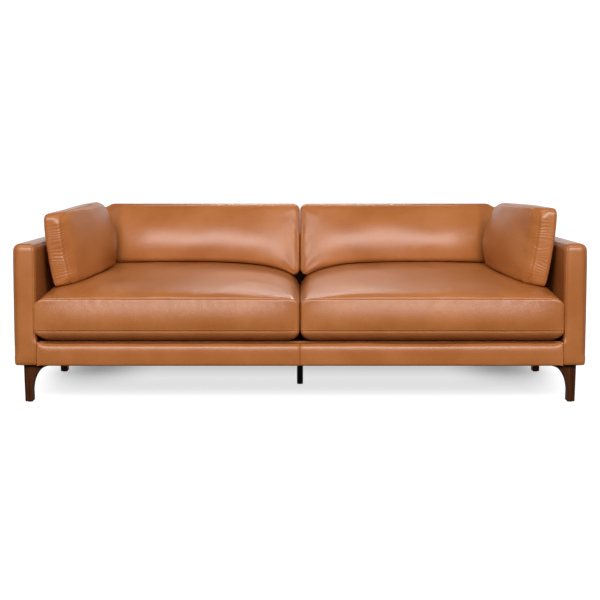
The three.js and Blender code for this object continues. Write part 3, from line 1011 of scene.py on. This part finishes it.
@dataclass
class ArmCushion:
    """A loose side cushion with a ruched band, leaning on the arm."""

    side: Side
    seat: SeatCushion
    tops: tuple
    bottom: float = 26.6
    setback: float = 50.0
    lean: float = 0.14
    outer_bulge: float = 12.0
    band: float = 84.0
    full: float = 198.0
    bulge: float = 44.0
    radius: float = 30.0
    front_round: float = 34.0
    seam_inset: float = 12.0
    seam: tuple = (1.3, 0.1)
    pucker: float = 15.0
    pucker_depth: float = 1.5
    crumple_depth: float = 1.6
    dent_depth: float = 2.5
    grid_steps: tuple = (5.0, 5.0, 2.8)

    def build(self) -> bpy.types.Object:
        """Builds the cushion.

        Its outer face leans with the height and bulges a little. The thickness grows from the
        front band as a quarter sine of the depth, with a swelling that is a sine of depth and
        height. The top rises as the 0.65th power of the depth and falls towards the arm. The
        edges are rounder at the top, and most at the front edge that faces the seat.
        """
        node = f"{self.side.label}_arm_cushion"
        low, high = box_mm(node, self.side.value)
        inner = box_mm(f"{self.side.label}_arm_upholstery", self.side.value)[0][0]
        top_front, top_rear = self.tops
        half = np.array([self.full, high[1] - low[1], top_rear - self.bottom]) / 2.0
        skin = Skin.of_size(half, self.grid_steps)
        block = skin.points / half
        radius = self.radius * (0.75 + 0.25 * smooth(block[:, 2], -1.0, 0.0))
        rounder = smooth(-block[:, 1], 0.5, 1.0) * smooth(-block[:, 0], -0.2, 0.8)
        n = round_off(skin.points, half, radius + self.front_round * rounder) / half
        outward, depth, up = np.clip((n + 1.0) / 2.0, 0.0, 1.0).T
        swell = np.sin(depth * np.pi / 2.0)
        thick = self.band + (self.full - self.band) * swell
        thick = thick + self.bulge * swell * np.sin(up * np.pi)
        top = top_front + (top_rear - top_front) * depth**0.65 * (1.0 - outward**1.6)
        outer = inner - self.setback + self.lean * (top - self.bottom) * up
        outer = outer + self.outer_bulge * np.maximum(np.sin(np.pi * up), 0.0) ** 0.6
        place = np.empty_like(n)
        place[:, 0] = outer - thick * (1.0 - n[:, 0]) / 2.0
        place[:, 1] = between(low[1], high[1], n[:, 1])
        rest = self.seat.top(place[:, 0], place[:, 1]) + REST_GAP
        ground = np.maximum(rest, self.seat.seam_height + self.bottom)
        place[:, 2] = ground + (self.seat.seam_height + top - ground) * up

        scale = thick / self.full
        rim = skin.rim(half, [1, 2])
        across = skin.points[:, 0]
        from_in = np.where(skin.on(0, -1), -rim, (across + half[0]) * scale) - self.seam_inset
        from_out = np.where(skin.on(0, 1), -rim, (half[0] - across) * scale) - self.seam_inset
        relief = seam_relief(from_in, *self.seam) + seam_relief(from_out, *self.seam)
        relief += self.puckers(place, skin, from_in, from_out)
        crumple = self.crumple_depth * waves(place, 48.0, self.seed() + 8, (2.0, 2.0, 1.0))
        dents = self.dent_depth * waves(place, 170.0, self.seed() + 5)
        relief += crumple * bell(from_in + 16.0, 50.0)
        relief += skin.on(0, -1) * smooth(rim, 20.0, 90.0) * dents
        place = push(place, skin.quads, relief)
        return leather_piece(
            node, f"{self.side.label}_side", place, skin, self.side.value,
            seam=marks((from_in, from_out), 0.0, 2.2),
            # The paler bands beside the band's seams are partly wear and partly painted highlight.
            wear_and_highlight=0.3 * marks((from_in, -from_out), 6.0, 5.0),
        )

    def puckers(self, place: Array, skin: Skin, from_in: Array, from_out: Array) -> Array:
        """Short folds that cross the band's seams.

        Each fold is the 0.7th power of a half sine along the seam. Waves shift the folds and
        change their depth, and bell curves across the seams end them.

        Args:
            place: corner places.
            skin: the plain block.
            from_in: distance from the inner seam, towards the band.
            from_out: distance from the outer seam, towards the band.

        Returns:
            The height of the relief.
        """
        ends = skin.on(2, -1) | skin.on(2, 1)
        along = np.where(ends, skin.points[:, 1], skin.points[:, 2])
        shift = 0.8 * waves(place, 80.0, self.seed() + 1, (2.0, 1.0, 1.0))
        fold = np.abs(np.sin(np.pi * (along / self.pucker + shift))) ** 0.7 - 0.7
        reach = 1.1 * bell(from_in - 22.0, 20.0) + 0.5 * bell(from_out - 8.0, 12.0)
        reach = reach + 0.75 * bell(from_in + 8.0, 18.0)
        uneven = 0.6 + 0.5 * waves(place, 70.0, self.seed() + 7)
        return self.pucker_depth * fold * np.clip(reach, 0.0, 1.2) * np.clip(uneven, 0.4, 1.2)

    def seed(self) -> int:
        """The seed of this side's waves."""
        return 90 + self.side.value


# --------------------------------------------------------------------------------------- covers


@dataclass
class ArmCover:
    """The leather over one arm: a wrapped panel with a front panel sewn in."""

    side: Side
    radius: float = 27.0
    inner_radius: float = 5.0
    bottom_radius: float = 10.0
    puff: float = 4.0
    seam: tuple = (1.1, 0.5)
    seam_inset: float = 7.0
    wave_depth: float = 0.9
    fold_depth: float = 0.25
    rail_top: tuple = (244.0, 262.0)
    grid_steps: tuple = (8.0, 12.0, 9.0)

    def edge_radius(self, n: Array, height: Array) -> Array:
        """The edge radius by place on the block.

        It is full at the outer and top edges, small at the inner front edge beside the rail
        and at the bottom, and smooth steps lead from one to the other.

        Args:
            n: places on the block, from -1 to 1 on each axis.
            height: heights above the floor.

        Returns:
            One radius for each corner.
        """
        above_rail = smooth(height, *self.rail_top)
        inner = self.inner_radius + (ARM_EDGE - self.inner_radius) * above_rail
        radius = inner + (self.radius - inner) * smooth(n[:, 0], -1.0, 0.2)
        radius = radius + (self.radius - radius) * smooth(n[:, 2], 0.80, 0.98)
        radius = self.bottom_radius + (radius - self.bottom_radius) * smooth(n[:, 2], -0.97, -0.8)
        return np.minimum(radius, self.radius)

    def build(self) -> bpy.types.Object:
        """Builds the cover, closed below where the leather wraps under the frame.

        Broad faces swell by 1 - n^6, but not the inner one, which the cushions press flat.
        """
        node = f"{self.side.label}_arm_upholstery"
        middle, half = middle_and_half(*box_mm(node, self.side.value))
        skin = Skin.of_size(half, self.grid_steps, (EDGE[:-1], EDGE, EDGE))
        n = skin.points / half
        radius = self.edge_radius(n, n[:, 2] * half[2] + middle[2])
        body = round_off(skin.points, half, radius)
        m = body / half
        rim = skin.rim(half, [0, 2])
        from_front = np.where(skin.on(1, -1), rim, skin.points[:, 1] + half[1])
        from_rear = np.where(skin.on(1, 1), rim, half[1] - skin.points[:, 1])
        sides = np.where(skin.on(2, -1), 0.0, 1.0)
        flat_inside = np.where(skin.on(0, -1), 0.0, 1.0)
        puff = self.puff * flat_inside * (0.35 + 0.65 * (1.0 - m[:, 2] ** 6))
        seed = 120 + self.side.value
        even = (1.0 - m[:, 1] ** 8) * (1.0 - m[:, 2] ** 6)
        relief = puff * smooth(m[:, 2], -1.0, -0.86) * sides
        relief += self.wave_depth * even * waves(body, 260.0, seed)
        relief += seam_relief(from_front - self.seam_inset, *self.seam) * sides
        relief += seam_relief(from_rear - self.seam_inset, *self.seam) * sides
        folds = self.fold_depth * waves(body, 20.0, seed + 2, (1.0, 1.0, 5.0))
        relief += folds * bell(from_front, 30.0)
        relief = relief * np.where(skin.on(0, -1), 0.3, 1.0)
        place = push(middle + body, skin.quads, relief)
        return leather_piece(
            node, "frame", place, skin, self.side.value,
            seam=marks((from_front, from_rear), self.seam_inset, 1.8),
            # The paler front edge is partly wear and partly painted highlight.
            wear_and_highlight=0.5 * bell(from_front - 2.0, 5.0),
        )


@dataclass
class BackCover:
    """The leather over the back, flat behind and rounded over the top."""

    radius: float = 24.0
    lower_radius: float = 4.0
    panels: tuple = (-352.0, 352.0)
    seam: tuple = (1.8, 0.8)
    swell: float = 3.0
    wave_depth: float = 1.2
    fold_depth: float = 0.4
    grid_steps: tuple = (14.0, 8.0, 11.0)

    def build(self) -> bpy.types.Object:
        """Builds the cover as a rounded block with two upright seams behind.

        The rear face swells by 1 - n^6, and its radius is small below and at both ends.
        """
        middle, half = middle_and_half(*box_mm("back_upholstery"))
        seams = np.array(self.panels)
        close = np.array([-6.0, -3.0, -1.2, 0.0, 1.2, 3.0, 6.0])
        step_x, step_y, step_z = self.grid_steps
        x = merged(edge_lines(half[0], step_x, EDGE), (seams[:, None] + close).ravel())
        y, z = edge_lines(half[1], step_y, EDGE[:-1]), edge_lines(half[2], step_z, EDGE)
        skin = Skin.of_block(x, y, z)
        n = skin.points / half
        radius = self.lower_radius + (self.radius - self.lower_radius) * smooth(n[:, 2], 0.5, 0.9)
        radius = radius * (1.0 - 0.75 * smooth(np.abs(n[:, 0]), 0.985, 1.0))
        body = round_off(skin.points, half, radius)
        on_rear, rear_half = skin.on(1, 1), skin.points[:, 1] > 0
        from_seam = np.abs(skin.points[:, :1] - seams).min(axis=1)
        up = smooth(n[:, 2], -1.0, -0.9)
        relief = self.swell * (1.0 - n[:, 2] ** 6) + self.wave_depth * waves(body, 300.0, 150)
        relief = on_rear * up * relief
        relief += seam_relief(from_seam, *self.seam) * up * rear_half
        folds = self.fold_depth * waves(body, 22.0, 151, (1.0, 1.0, 4.0))
        relief += on_rear * folds * bell(from_seam, 24.0)
        place = push(middle + body, skin.quads, relief)
        return leather_piece(
            "back_upholstery", "frame", place, skin, 1,
            seam=bell(from_seam, 1.8) * rear_half, wear_and_highlight=0.0 * from_seam,
        )


@dataclass
class RailCover:
    """The leather over the front rail, with one upright seam in the middle."""

    radius: float = 20.0
    lower_radius: float = 7.0
    lean: float = 7.0
    wrap: float = 46.0
    seam: tuple = (2.6, 1.3)
    stitch: float = 10.0
    stitch_seam: tuple = (0.6, 0.3)
    swell: float = 2.0
    wave_depth: float = 0.8
    top_wave_depth: float = 1.8
    grid_steps: tuple = (12.0, 5.0, 5.0)

    def build(self) -> bpy.types.Object:
        """Builds the cover as a rounded block that wraps under and over the timber rail.

        The face swells by 1 - n^4, and above its middle it leans back as the square of a
        smooth step. Its top edge waves gently. Stitch lines run beside the middle seam.
        """
        low, high = box_mm("front_rail_upholstery")
        high[1] = low[1] + self.wrap
        middle, half = middle_and_half(low, high)
        seam = np.array([0.0, 0.8, 1.8, 3.0, 4.6, 6.6, 9.0, 11.0, 13.0, 16.0])
        step_x, step_y, step_z = self.grid_steps
        x = merged(edge_lines(half[0], step_x, EDGE), seam, -seam)
        y, z = edge_lines(half[1], step_y, EDGE[:7]), edge_lines(half[2], step_z, EDGE[:9])
        skin = Skin.of_block(x, y, z)
        n = skin.points / half
        radius = self.lower_radius + (self.radius - self.lower_radius) * smooth(n[:, 2], -0.2, 0.8)
        radius = radius * (1.0 - 0.8 * smooth(np.abs(n[:, 0]), 0.985, 1.0))
        body = round_off(skin.points, half, radius)
        across = skin.points[:, 0]
        edge = half[0] - np.abs(across)
        relief = self.swell * (1.0 - n[:, 2] ** 4) * smooth(edge, 0.0, 60.0)
        relief += seam_relief(across, *self.seam)
        relief += seam_relief(np.abs(across) - self.stitch, *self.stitch_seam)
        relief += self.wave_depth * waves(body, 200.0, 170) * smooth(edge, 0.0, 80.0)
        relief += 0.35 * waves(body, 18.0, 171, (1.0, 1.0, 6.0)) * bell(across, 60.0)
        relief += 0.25 * waves(body, 26.0, 172, (1.0, 1.0, 6.0))
        upper = smooth(n[:, 2], 0.55, 1.0) * smooth(edge, 0.0, 60.0)
        relief += upper * self.top_wave_depth * (waves(body, 420.0, 173) - 0.6)
        relief -= self.lean * smooth(n[:, 2], 0.0, 1.0) ** 2 * smooth(edge, 0.0, 40.0)
        shown = skin.on(1, -1) | skin.on(2, 1)
        place = push(middle + body, skin.quads, relief * shown)
        return leather_piece(
            "front_rail_upholstery", "frame", place, skin, 1,
            seam=bell(across, 2.0) * shown,
            # The paler top edge is partly wear and partly painted highlight.
            wear_and_highlight=0.5 * bell(half[2] - skin.points[:, 2], 9.0) * shown,
        )


@dataclass
class SeatDeck:
    """The platform under the seat cushions: cloth, with a leather lip in front."""

    rail_depth: float = 44.0
    lip: float = 92.0
    gap: float = 0.4
    radius: float = 3.5
    sag: float = 1.6

    def build(self) -> None:
        """Builds the cloth platform and the leather lip, each a thin padded slab."""
        low, high = box_mm("seat_deck")
        rail = box_mm("front_rail_upholstery")[0][1] + self.rail_depth
        split = rail + self.lip
        self.slab("seat_deck_cloth", [low[0], split, low[2]], high, Finish.DECK, ["seat_deck"])
        end = [high[0], split - self.gap, high[2]]
        self.slab("seat_deck_lip", [low[0], rail, low[2]], end, Finish.LEATHER, [])

    def slab(self, name: str, low: Array, high: Array, finish: Finish, nodes: list[str]) -> None:
        """Builds one slab, whose top sags by a smooth step from its edges.

        Args:
            name: the piece's name.
            low: its lowest corner.
            high: its highest corner.
            finish: its finish.
            nodes: CAD nodes that it replaces.
        """
        middle, half = middle_and_half(np.array(low), np.array(high))
        x, y = edge_lines(half[0], 16.0, EDGE[:6]), edge_lines(half[1], 12.0, EDGE[:6])
        skin = Skin.of_block(x, y, np.linspace(-half[2], half[2], 5))
        body = round_off(skin.points, half, min(self.radius, half[2] - 0.2))
        top = skin.on(2, 1)
        edge = (half - np.abs(body))[:, :2].min(axis=1)
        uneven = 0.6 + 0.4 * waves(body, 180.0, 190)
        place = middle + body
        place[:, 2] -= top * (self.sag * smooth(edge, 0.0, 120.0) * uneven + 0.5)
        values = {"seam": bell(edge, 2.5) * top, "wear_and_highlight": 0.0 * edge}
        dress(make_mesh(name, place, skin.quads, 1, values), finish, "frame", nodes)


@dataclass
class DustCover:
    """The thin black cloth under the frame, notched round the legs."""

    sag: float = 2.2
    leg_clearance: float = 6.0

    def lines(self) -> tuple[Array, Array]:
        """The cloth's grid lines across and along.

        Returns:
            Two lists of lines. The notches reach to the 5th line from each end across, and to
            the 7th from each end along.
        """
        low, high = box_mm("dust_cover")
        front_leg, rear_leg = box_mm("front_right_leg"), box_mm("rear_right_leg")
        notch = front_leg[0][0] - self.leg_clearance
        front, rear = front_leg[1][1] + self.leg_clearance, rear_leg[0][1] - self.leg_clearance
        x = merged(
            np.linspace(low[0], -notch, 5), np.linspace(-notch, notch, 81),
            np.linspace(notch, high[0], 5),
        )
        y = merged(
            np.linspace(low[1], front, 7), np.linspace(front, rear, 27),
            np.linspace(rear, high[1], 7),
        )
        return x, y

    def build(self) -> bpy.types.Object:
        """Builds the cloth: a grid in plan without the cells in the four notches.

        The cloth hangs lower by a product of two half sines, and has a top and a bottom
        layer joined along the rim.
        """
        low, high = box_mm("dust_cover")
        x, y = self.lines()
        xc, yc = np.meshgrid((x[1:] + x[:-1]) / 2, (y[1:] + y[:-1]) / 2, indexing="ij")
        keep = ((xc > x[4]) & (xc < x[-5])) | ((yc > y[6]) & (yc < y[-7]))
        gx, gy = np.meshgrid(x, y, indexing="ij")
        across = np.sin(np.pi * (gx - x[0]) / (x[-1] - x[0]))
        along = np.sin(np.pi * (gy - y[0]) / (y[-1] - y[0]))
        flat = np.column_stack([gx.ravel(), gy.ravel(), 0 * gx.ravel()])
        hang = self.sag * across * along * (1.0 + 0.3 * waves(flat, 160.0, 210).reshape(gx.shape))
        top = flat + np.array([0.0, 0.0, 1.0]) * (high[2] - hang).reshape(-1, 1)
        under = top - np.array([0.0, 0.0, high[2] - low[2]])
        number = np.arange(gx.size).reshape(gx.shape)
        i, j = np.nonzero(keep)
        near, far = number[i, j], number[i + 1, j + 1]
        upper = np.stack([near, number[i + 1, j], far, number[i, j + 1]], 1)
        lower = upper[:, ::-1] + gx.size
        edges = np.concatenate([upper[:, [k, (k + 1) % 4]] for k in range(4)])
        code, back = edges @ [gx.size + 1, 1], edges @ [1, gx.size + 1]
        rim = edges[~np.isin(code, back)]
        wall = np.stack([rim[:, 1], rim[:, 0], rim[:, 0] + gx.size, rim[:, 1] + gx.size], 1)
        used, inverse = np.unique(np.concatenate([upper, lower, wall]), return_inverse=True)
        place = np.concatenate([top, under])[used]
        piece = make_mesh("dust_cover_cloth", place, inverse.reshape(-1, 4))
        dress(piece, Finish.DUST, "frame", ["dust_cover"])
        return piece


# ------------------------------------------------------------------------------- legs and fittings


@dataclass
class BracketLeg:
    """A walnut leg: a slim foot that sweeps into a thin bracket under the frame."""

    side: Side
    front: bool
    foot: tuple = (31.0, 50.0)
    wing: tuple = (98.0, 116.0)
    tip: float = 2.5
    draft: float = 3.0
    straight: float = 46.0
    bend: tuple = (4.0, 15.0)
    radius: float = 2.6
    ease: float = 1.4
    ease_height: float = 3.0
    curve_steps: int = 60

    def curve(self, start: float, control: float, end: float) -> Array:
        """A quadratic curve, at even steps of its parameter.

        Args:
            start: its first value.
            control: the value of its control point.
            end: its last value.

        Returns:
            The values along the curve.
        """
        t = np.linspace(0.0, 1.0, self.curve_steps)
        return (1 - t) ** 2 * start + 2 * t * (1 - t) * control + t**2 * end

    def sweep(self, top: float) -> Array:
        """Heights along the sweep, from the straight foot to the wing's underside."""
        return self.curve(self.straight, top - self.tip - self.bend[1], top - self.tip)

    def spread(self, height: Array, foot: float, wing: float, top: float) -> Array:
        """The leg's width at a height: straight, then a quadratic curve out to the wing.

        Args:
            height: heights above the floor.
            foot: width of the foot.
            wing: width of the bracket.
            top: height of the leg's top.

        Returns:
            One width for each height.
        """
        return np.interp(height, self.sweep(top), self.curve(foot, foot + self.bend[0], wing))

    def build(self) -> bpy.types.Object:
        """Builds the leg: at each height the section is a rectangle with small round corners.

        The outer faces draw in towards the floor, and the inner faces follow the sweep. The
        foot's lowest edge is eased.
        """
        node = f"{'front' if self.front else 'rear'}_{self.side.label}_leg"
        low, high = box_mm(node, self.side.value)
        floor, top = low[2], high[2]
        steps, t = np.linspace(0.0, 1.0, 22)[1:], np.linspace(0.0, 1.0, self.curve_steps)
        z = merged(
            floor + np.array([0.0, 0.8, 2.0, 4.0]), np.linspace(floor + 10.0, self.straight, 6),
            np.interp(steps, t, self.sweep(top)), [top - 1.2, top],
        )
        near = np.array([0.87, 0.93, 0.97, 1.0])
        lines = np.concatenate([-near[::-1], np.linspace(-0.8, 0.8, 7), near])
        skin = Skin.of_block(lines, lines, z)
        z = skin.points[:, 2]
        draw = self.draft * (1.0 - (z - floor) / (top - floor))
        half = np.column_stack([
            self.spread(z, self.foot[0], self.wing[0], top) / 2.0,
            self.spread(z, self.foot[1], self.wing[1], top) / 2.0, np.full(len(z), FREE),
        ])
        plan = skin.points * half
        plan[:, 2] = 0.0
        plan = round_off(plan, half, self.radius)
        ease = self.ease * (1.0 - smooth(z, floor, floor + self.ease_height))
        plan *= 1.0 - ease[:, None] / half
        place = np.empty_like(plan)
        place[:, 0] = high[0] - draw - half[:, 0] + plan[:, 0]
        if self.front:
            place[:, 1] = low[1] + draw + half[:, 1] + plan[:, 1]
        else:
            place[:, 1] = high[1] - draw - half[:, 1] + plan[:, 1]
        place[:, 2] = z
        piece = make_mesh(f"{node}_walnut", place, skin.quads, self.side.value)
        return dress(piece, Finish.WALNUT, "frame", [node])


@dataclass
class CentreLeg:
    """The black tube under the middle, with a rounded end."""

    sides: int = 48
    edge: float = 1.5
    pole: float = 0.01

    def build(self) -> bpy.types.Object:
        """Builds the tube: a lathe profile, straight with small rounds at both ends."""
        low, high = box_mm("centre_leg")
        middle, half = middle_and_half(low, high)
        core = half[0] - self.edge
        turn = np.linspace(0.0, np.pi / 2.0, 6)
        out, along = self.edge * np.sin(turn), self.edge * np.cos(turn)
        lower = np.column_stack([core + out, low[2] + self.edge - along])
        upper = np.column_stack([core + along, high[2] - self.edge + out])
        profile = np.vstack([[self.pole, low[2]], lower, upper, [self.pole, high[2]]])
        points, quads = lathe(profile, self.sides)
        points[:, :2] += middle[:2]
        piece = make_mesh("centre_leg_tube", points, quads)
        return dress(piece, Finish.STEEL, "frame", ["centre_leg"])


# Words in the names of the CAD nodes that stay, and the finish that each calls for.
NODE_FINISHES = {
    "spring": Finish.SPRING, "bolt": Finish.SPRING, "hardboard": Finish.HARDBOARD,
    "glide": Finish.PLASTIC, "foot": Finish.PLASTIC, "plate": Finish.STEEL,
}


@dataclass
class HiddenFrame:
    """The CAD nodes that stay: timber, boards, springs, bolts, plates and glides."""

    otherwise: Finish = Finish.TIMBER

    def dress(self) -> None:
        """Gives every node that still shows its finish."""
        for name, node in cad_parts.items():
            if node.hide_render:
                continue
            called_for = [finish for word, finish in NODE_FINISHES.items() if word in name]
            finish = (called_for or [self.otherwise])[0]
            node.data.materials.clear()
            node.data.materials.append(material(finish))
            LOG.info("%s keeps its shape, in %s", name, finish.value)


# ------------------------------------------------------------------------------------------ stage


@dataclass(frozen=True)
class Lamp:
    """A soft rectangular light that faces a point; its beam's spread is in degrees."""

    name: str
    place: tuple
    aim: tuple
    size: tuple
    power: float
    spread: float = 180.0

    def build(self) -> None:
        """Sets the lamp up, out of the camera's sight."""
        data = bpy.data.lights.new(self.name, "AREA")
        data.shape, data.size, data.size_y = "RECTANGLE", self.size[0], self.size[1]
        data.energy, data.spread = self.power, math.radians(self.spread)
        lamp = bpy.data.objects.new(self.name, data)
        lamp.location = self.place
        toward = np.array(self.place) - np.array(self.aim)
        toward = toward / np.linalg.norm(toward)
        turn = math.atan2(toward[1], toward[0]) + math.pi / 2.0
        lamp.rotation_euler = (math.acos(toward[2]), 0.0, turn)
        lamp.visible_camera = False
        bpy.context.scene.collection.objects.link(lamp)


LAMPS = (
    Lamp("front_soft", (0.0, -5.6, 3.9), (0.0, 0.0, 0.5), (6.5, 2.8), 600.0),
    Lamp("rear_soft", (0.0, 2.4, 2.9), (0.0, -0.2, 0.5), (1.2, 0.8), 12.0),
    Lamp("shoulder_soft_left", (-0.63, 2.0, 2.5), (0.21, -0.1, 0.5), (0.4, 0.4), 0.45, 24.0),
    Lamp("shoulder_soft_right", (0.63, 2.0, 2.5), (-0.21, -0.1, 0.5), (0.4, 0.4), 0.45, 24.0),
)


@dataclass
class Stage:
    """A white studio: floor, soft lights and the camera."""

    lens: float = 83.6
    sensor: float = 36.0
    distance: float = 6.033
    eye: float = 0.9505
    tilt: float = 5.45
    far: float = 60.0
    room: float = 0.15
    backdrop: float = 1.1
    shown: float = 1.2
    floor_reach: float = 30.0

    def camera(self) -> None:
        """A long lens straight in front, a little above the arms, looking slightly down."""
        data = bpy.data.cameras.new("camera")
        data.lens, data.sensor_width, data.clip_end = self.lens, self.sensor, self.far
        camera = bpy.data.objects.new("camera", data)
        camera.location = (0.0, -self.distance, self.eye)
        camera.rotation_euler = (math.radians(90.0 - self.tilt), 0.0, 0.0)
        bpy.context.scene.collection.objects.link(camera)
        bpy.context.scene.camera = camera

    def surroundings(self) -> None:
        """A white backdrop behind, a dimmer room in front, and little light from below.

        The light from a direction is a smooth step of its y, for the backdrop, times two
        steps of its z, for the backdrop's top and for the floor. The camera itself sees plain
        white.
        """
        world = bpy.data.worlds.new("studio")
        world.use_nodes = True
        n = Nodes(world.node_tree)
        to_camera = n.add("ShaderNodeLightPath", output="Is Camera Ray")
        _, back, up = n.split(n.add("ShaderNodeTexCoord", output="Generated"))
        low_down = 1.0 - up.ramp(0.30, 0.62)
        glow = self.room + (self.backdrop - self.room) * back.ramp(0.15, 0.6) * low_down
        glow = glow * (0.25 + 0.75 * up.ramp(-0.25, 0.05))
        background = n.tree.nodes["Background"].inputs
        n.plug(background["Strength"], glow * (1.0 - to_camera) + to_camera * self.shown)
        n.plug(background["Color"], rgb(1.0, 1.0, 1.0))
        bpy.context.scene.world = world

    def floor(self) -> None:
        """A floor that is white from a short way out, with a soft grey shadow painted under the
        sofa.

        The painted shadow is a product of smooth steps of x and y, and it is darker behind the
        sofa and at its rear corners. The sofa casts none of it, so it stays put when parts move.
        """
        corners = np.array([[-1, -1, 0], [1, -1, 0], [1, 1, 0], [-1, 1, 0]], float)
        floor = make_mesh("floor", corners * self.floor_reach / MM, np.array([[0, 1, 2, 3]]))
        n = Paint("floor_painted_shadow")
        across, back, _ = n.split(n.place())
        out = n.add("ShaderNodeMath", {"operation": "ABSOLUTE"}, {0: across})
        # Painted shadow under and behind the sofa, from smooth steps of x and y.
        under = (1.0 - out.ramp(0.95, 1.35)) * back.ramp(-0.75, 0.05)
        under = under * (1.0 - back.ramp(0.9, 2.4))
        # Painted shadow at the sofa's rear corners.
        corner = out.ramp(0.66, 0.96) * (1.0 - out.ramp(1.02, 1.30)) * back.ramp(-0.1, 0.45)
        corner = corner * (1.0 - back.ramp(0.8, 1.6))
        # The floor's glow less the painted shadows: white in the open, soft grey under the sofa.
        glow = 1.15 - under * (0.43 + back.ramp(0.2, 0.6) * 0.24) - corner * 0.30
        light = n.blend(glow, rgb(0.0, 0.0, 0.0), rgb(1.0, 1.0, 1.0))
        cloud = n.noise(n.place(), 0.8, 2.0)
        tone = n.blend(cloud * 0.2, rgb(0.20, 0.20, 0.20), rgb(0.18, 0.18, 0.18))
        n.shade(Base_Color=tone, Roughness=0.8, Emission_Color=light, Emission_Strength=1.0)
        floor.data.materials.append(n.material)
        floor.visible_diffuse = False
        floor.visible_glossy = False

    def build(self) -> None:
        """Sets the floor, the surroundings, the lights and the camera."""
        self.floor()
        self.surroundings()
        for lamp in LAMPS:
            lamp.build()
        bpy.context.scene.view_settings.view_transform = "Standard"
        self.camera()


# ------------------------------------------------------------------------------------------- main


def main() -> None:
    """Builds the stage and every piece."""
    logging.basicConfig(level=logging.INFO, format="%(name)s: %(message)s")
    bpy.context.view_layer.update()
    Stage().build()
    for side in Side:
        seat = SeatCushion(side, SEAT_LIPS[side])
        seat.build()
        BackCushion(side, seat).build()
        ArmCushion(side, seat, CUSHION_TOPS[side]).build()
        ArmCover(side).build()
        for front in (True, False):
            BracketLeg(side, front).build()
    for part in (BackCover(), RailCover(), SeatDeck(), DustCover(), CentreLeg()):
        part.build()
    HiddenFrame().dress()


if __name__ == "__main__":
    main()
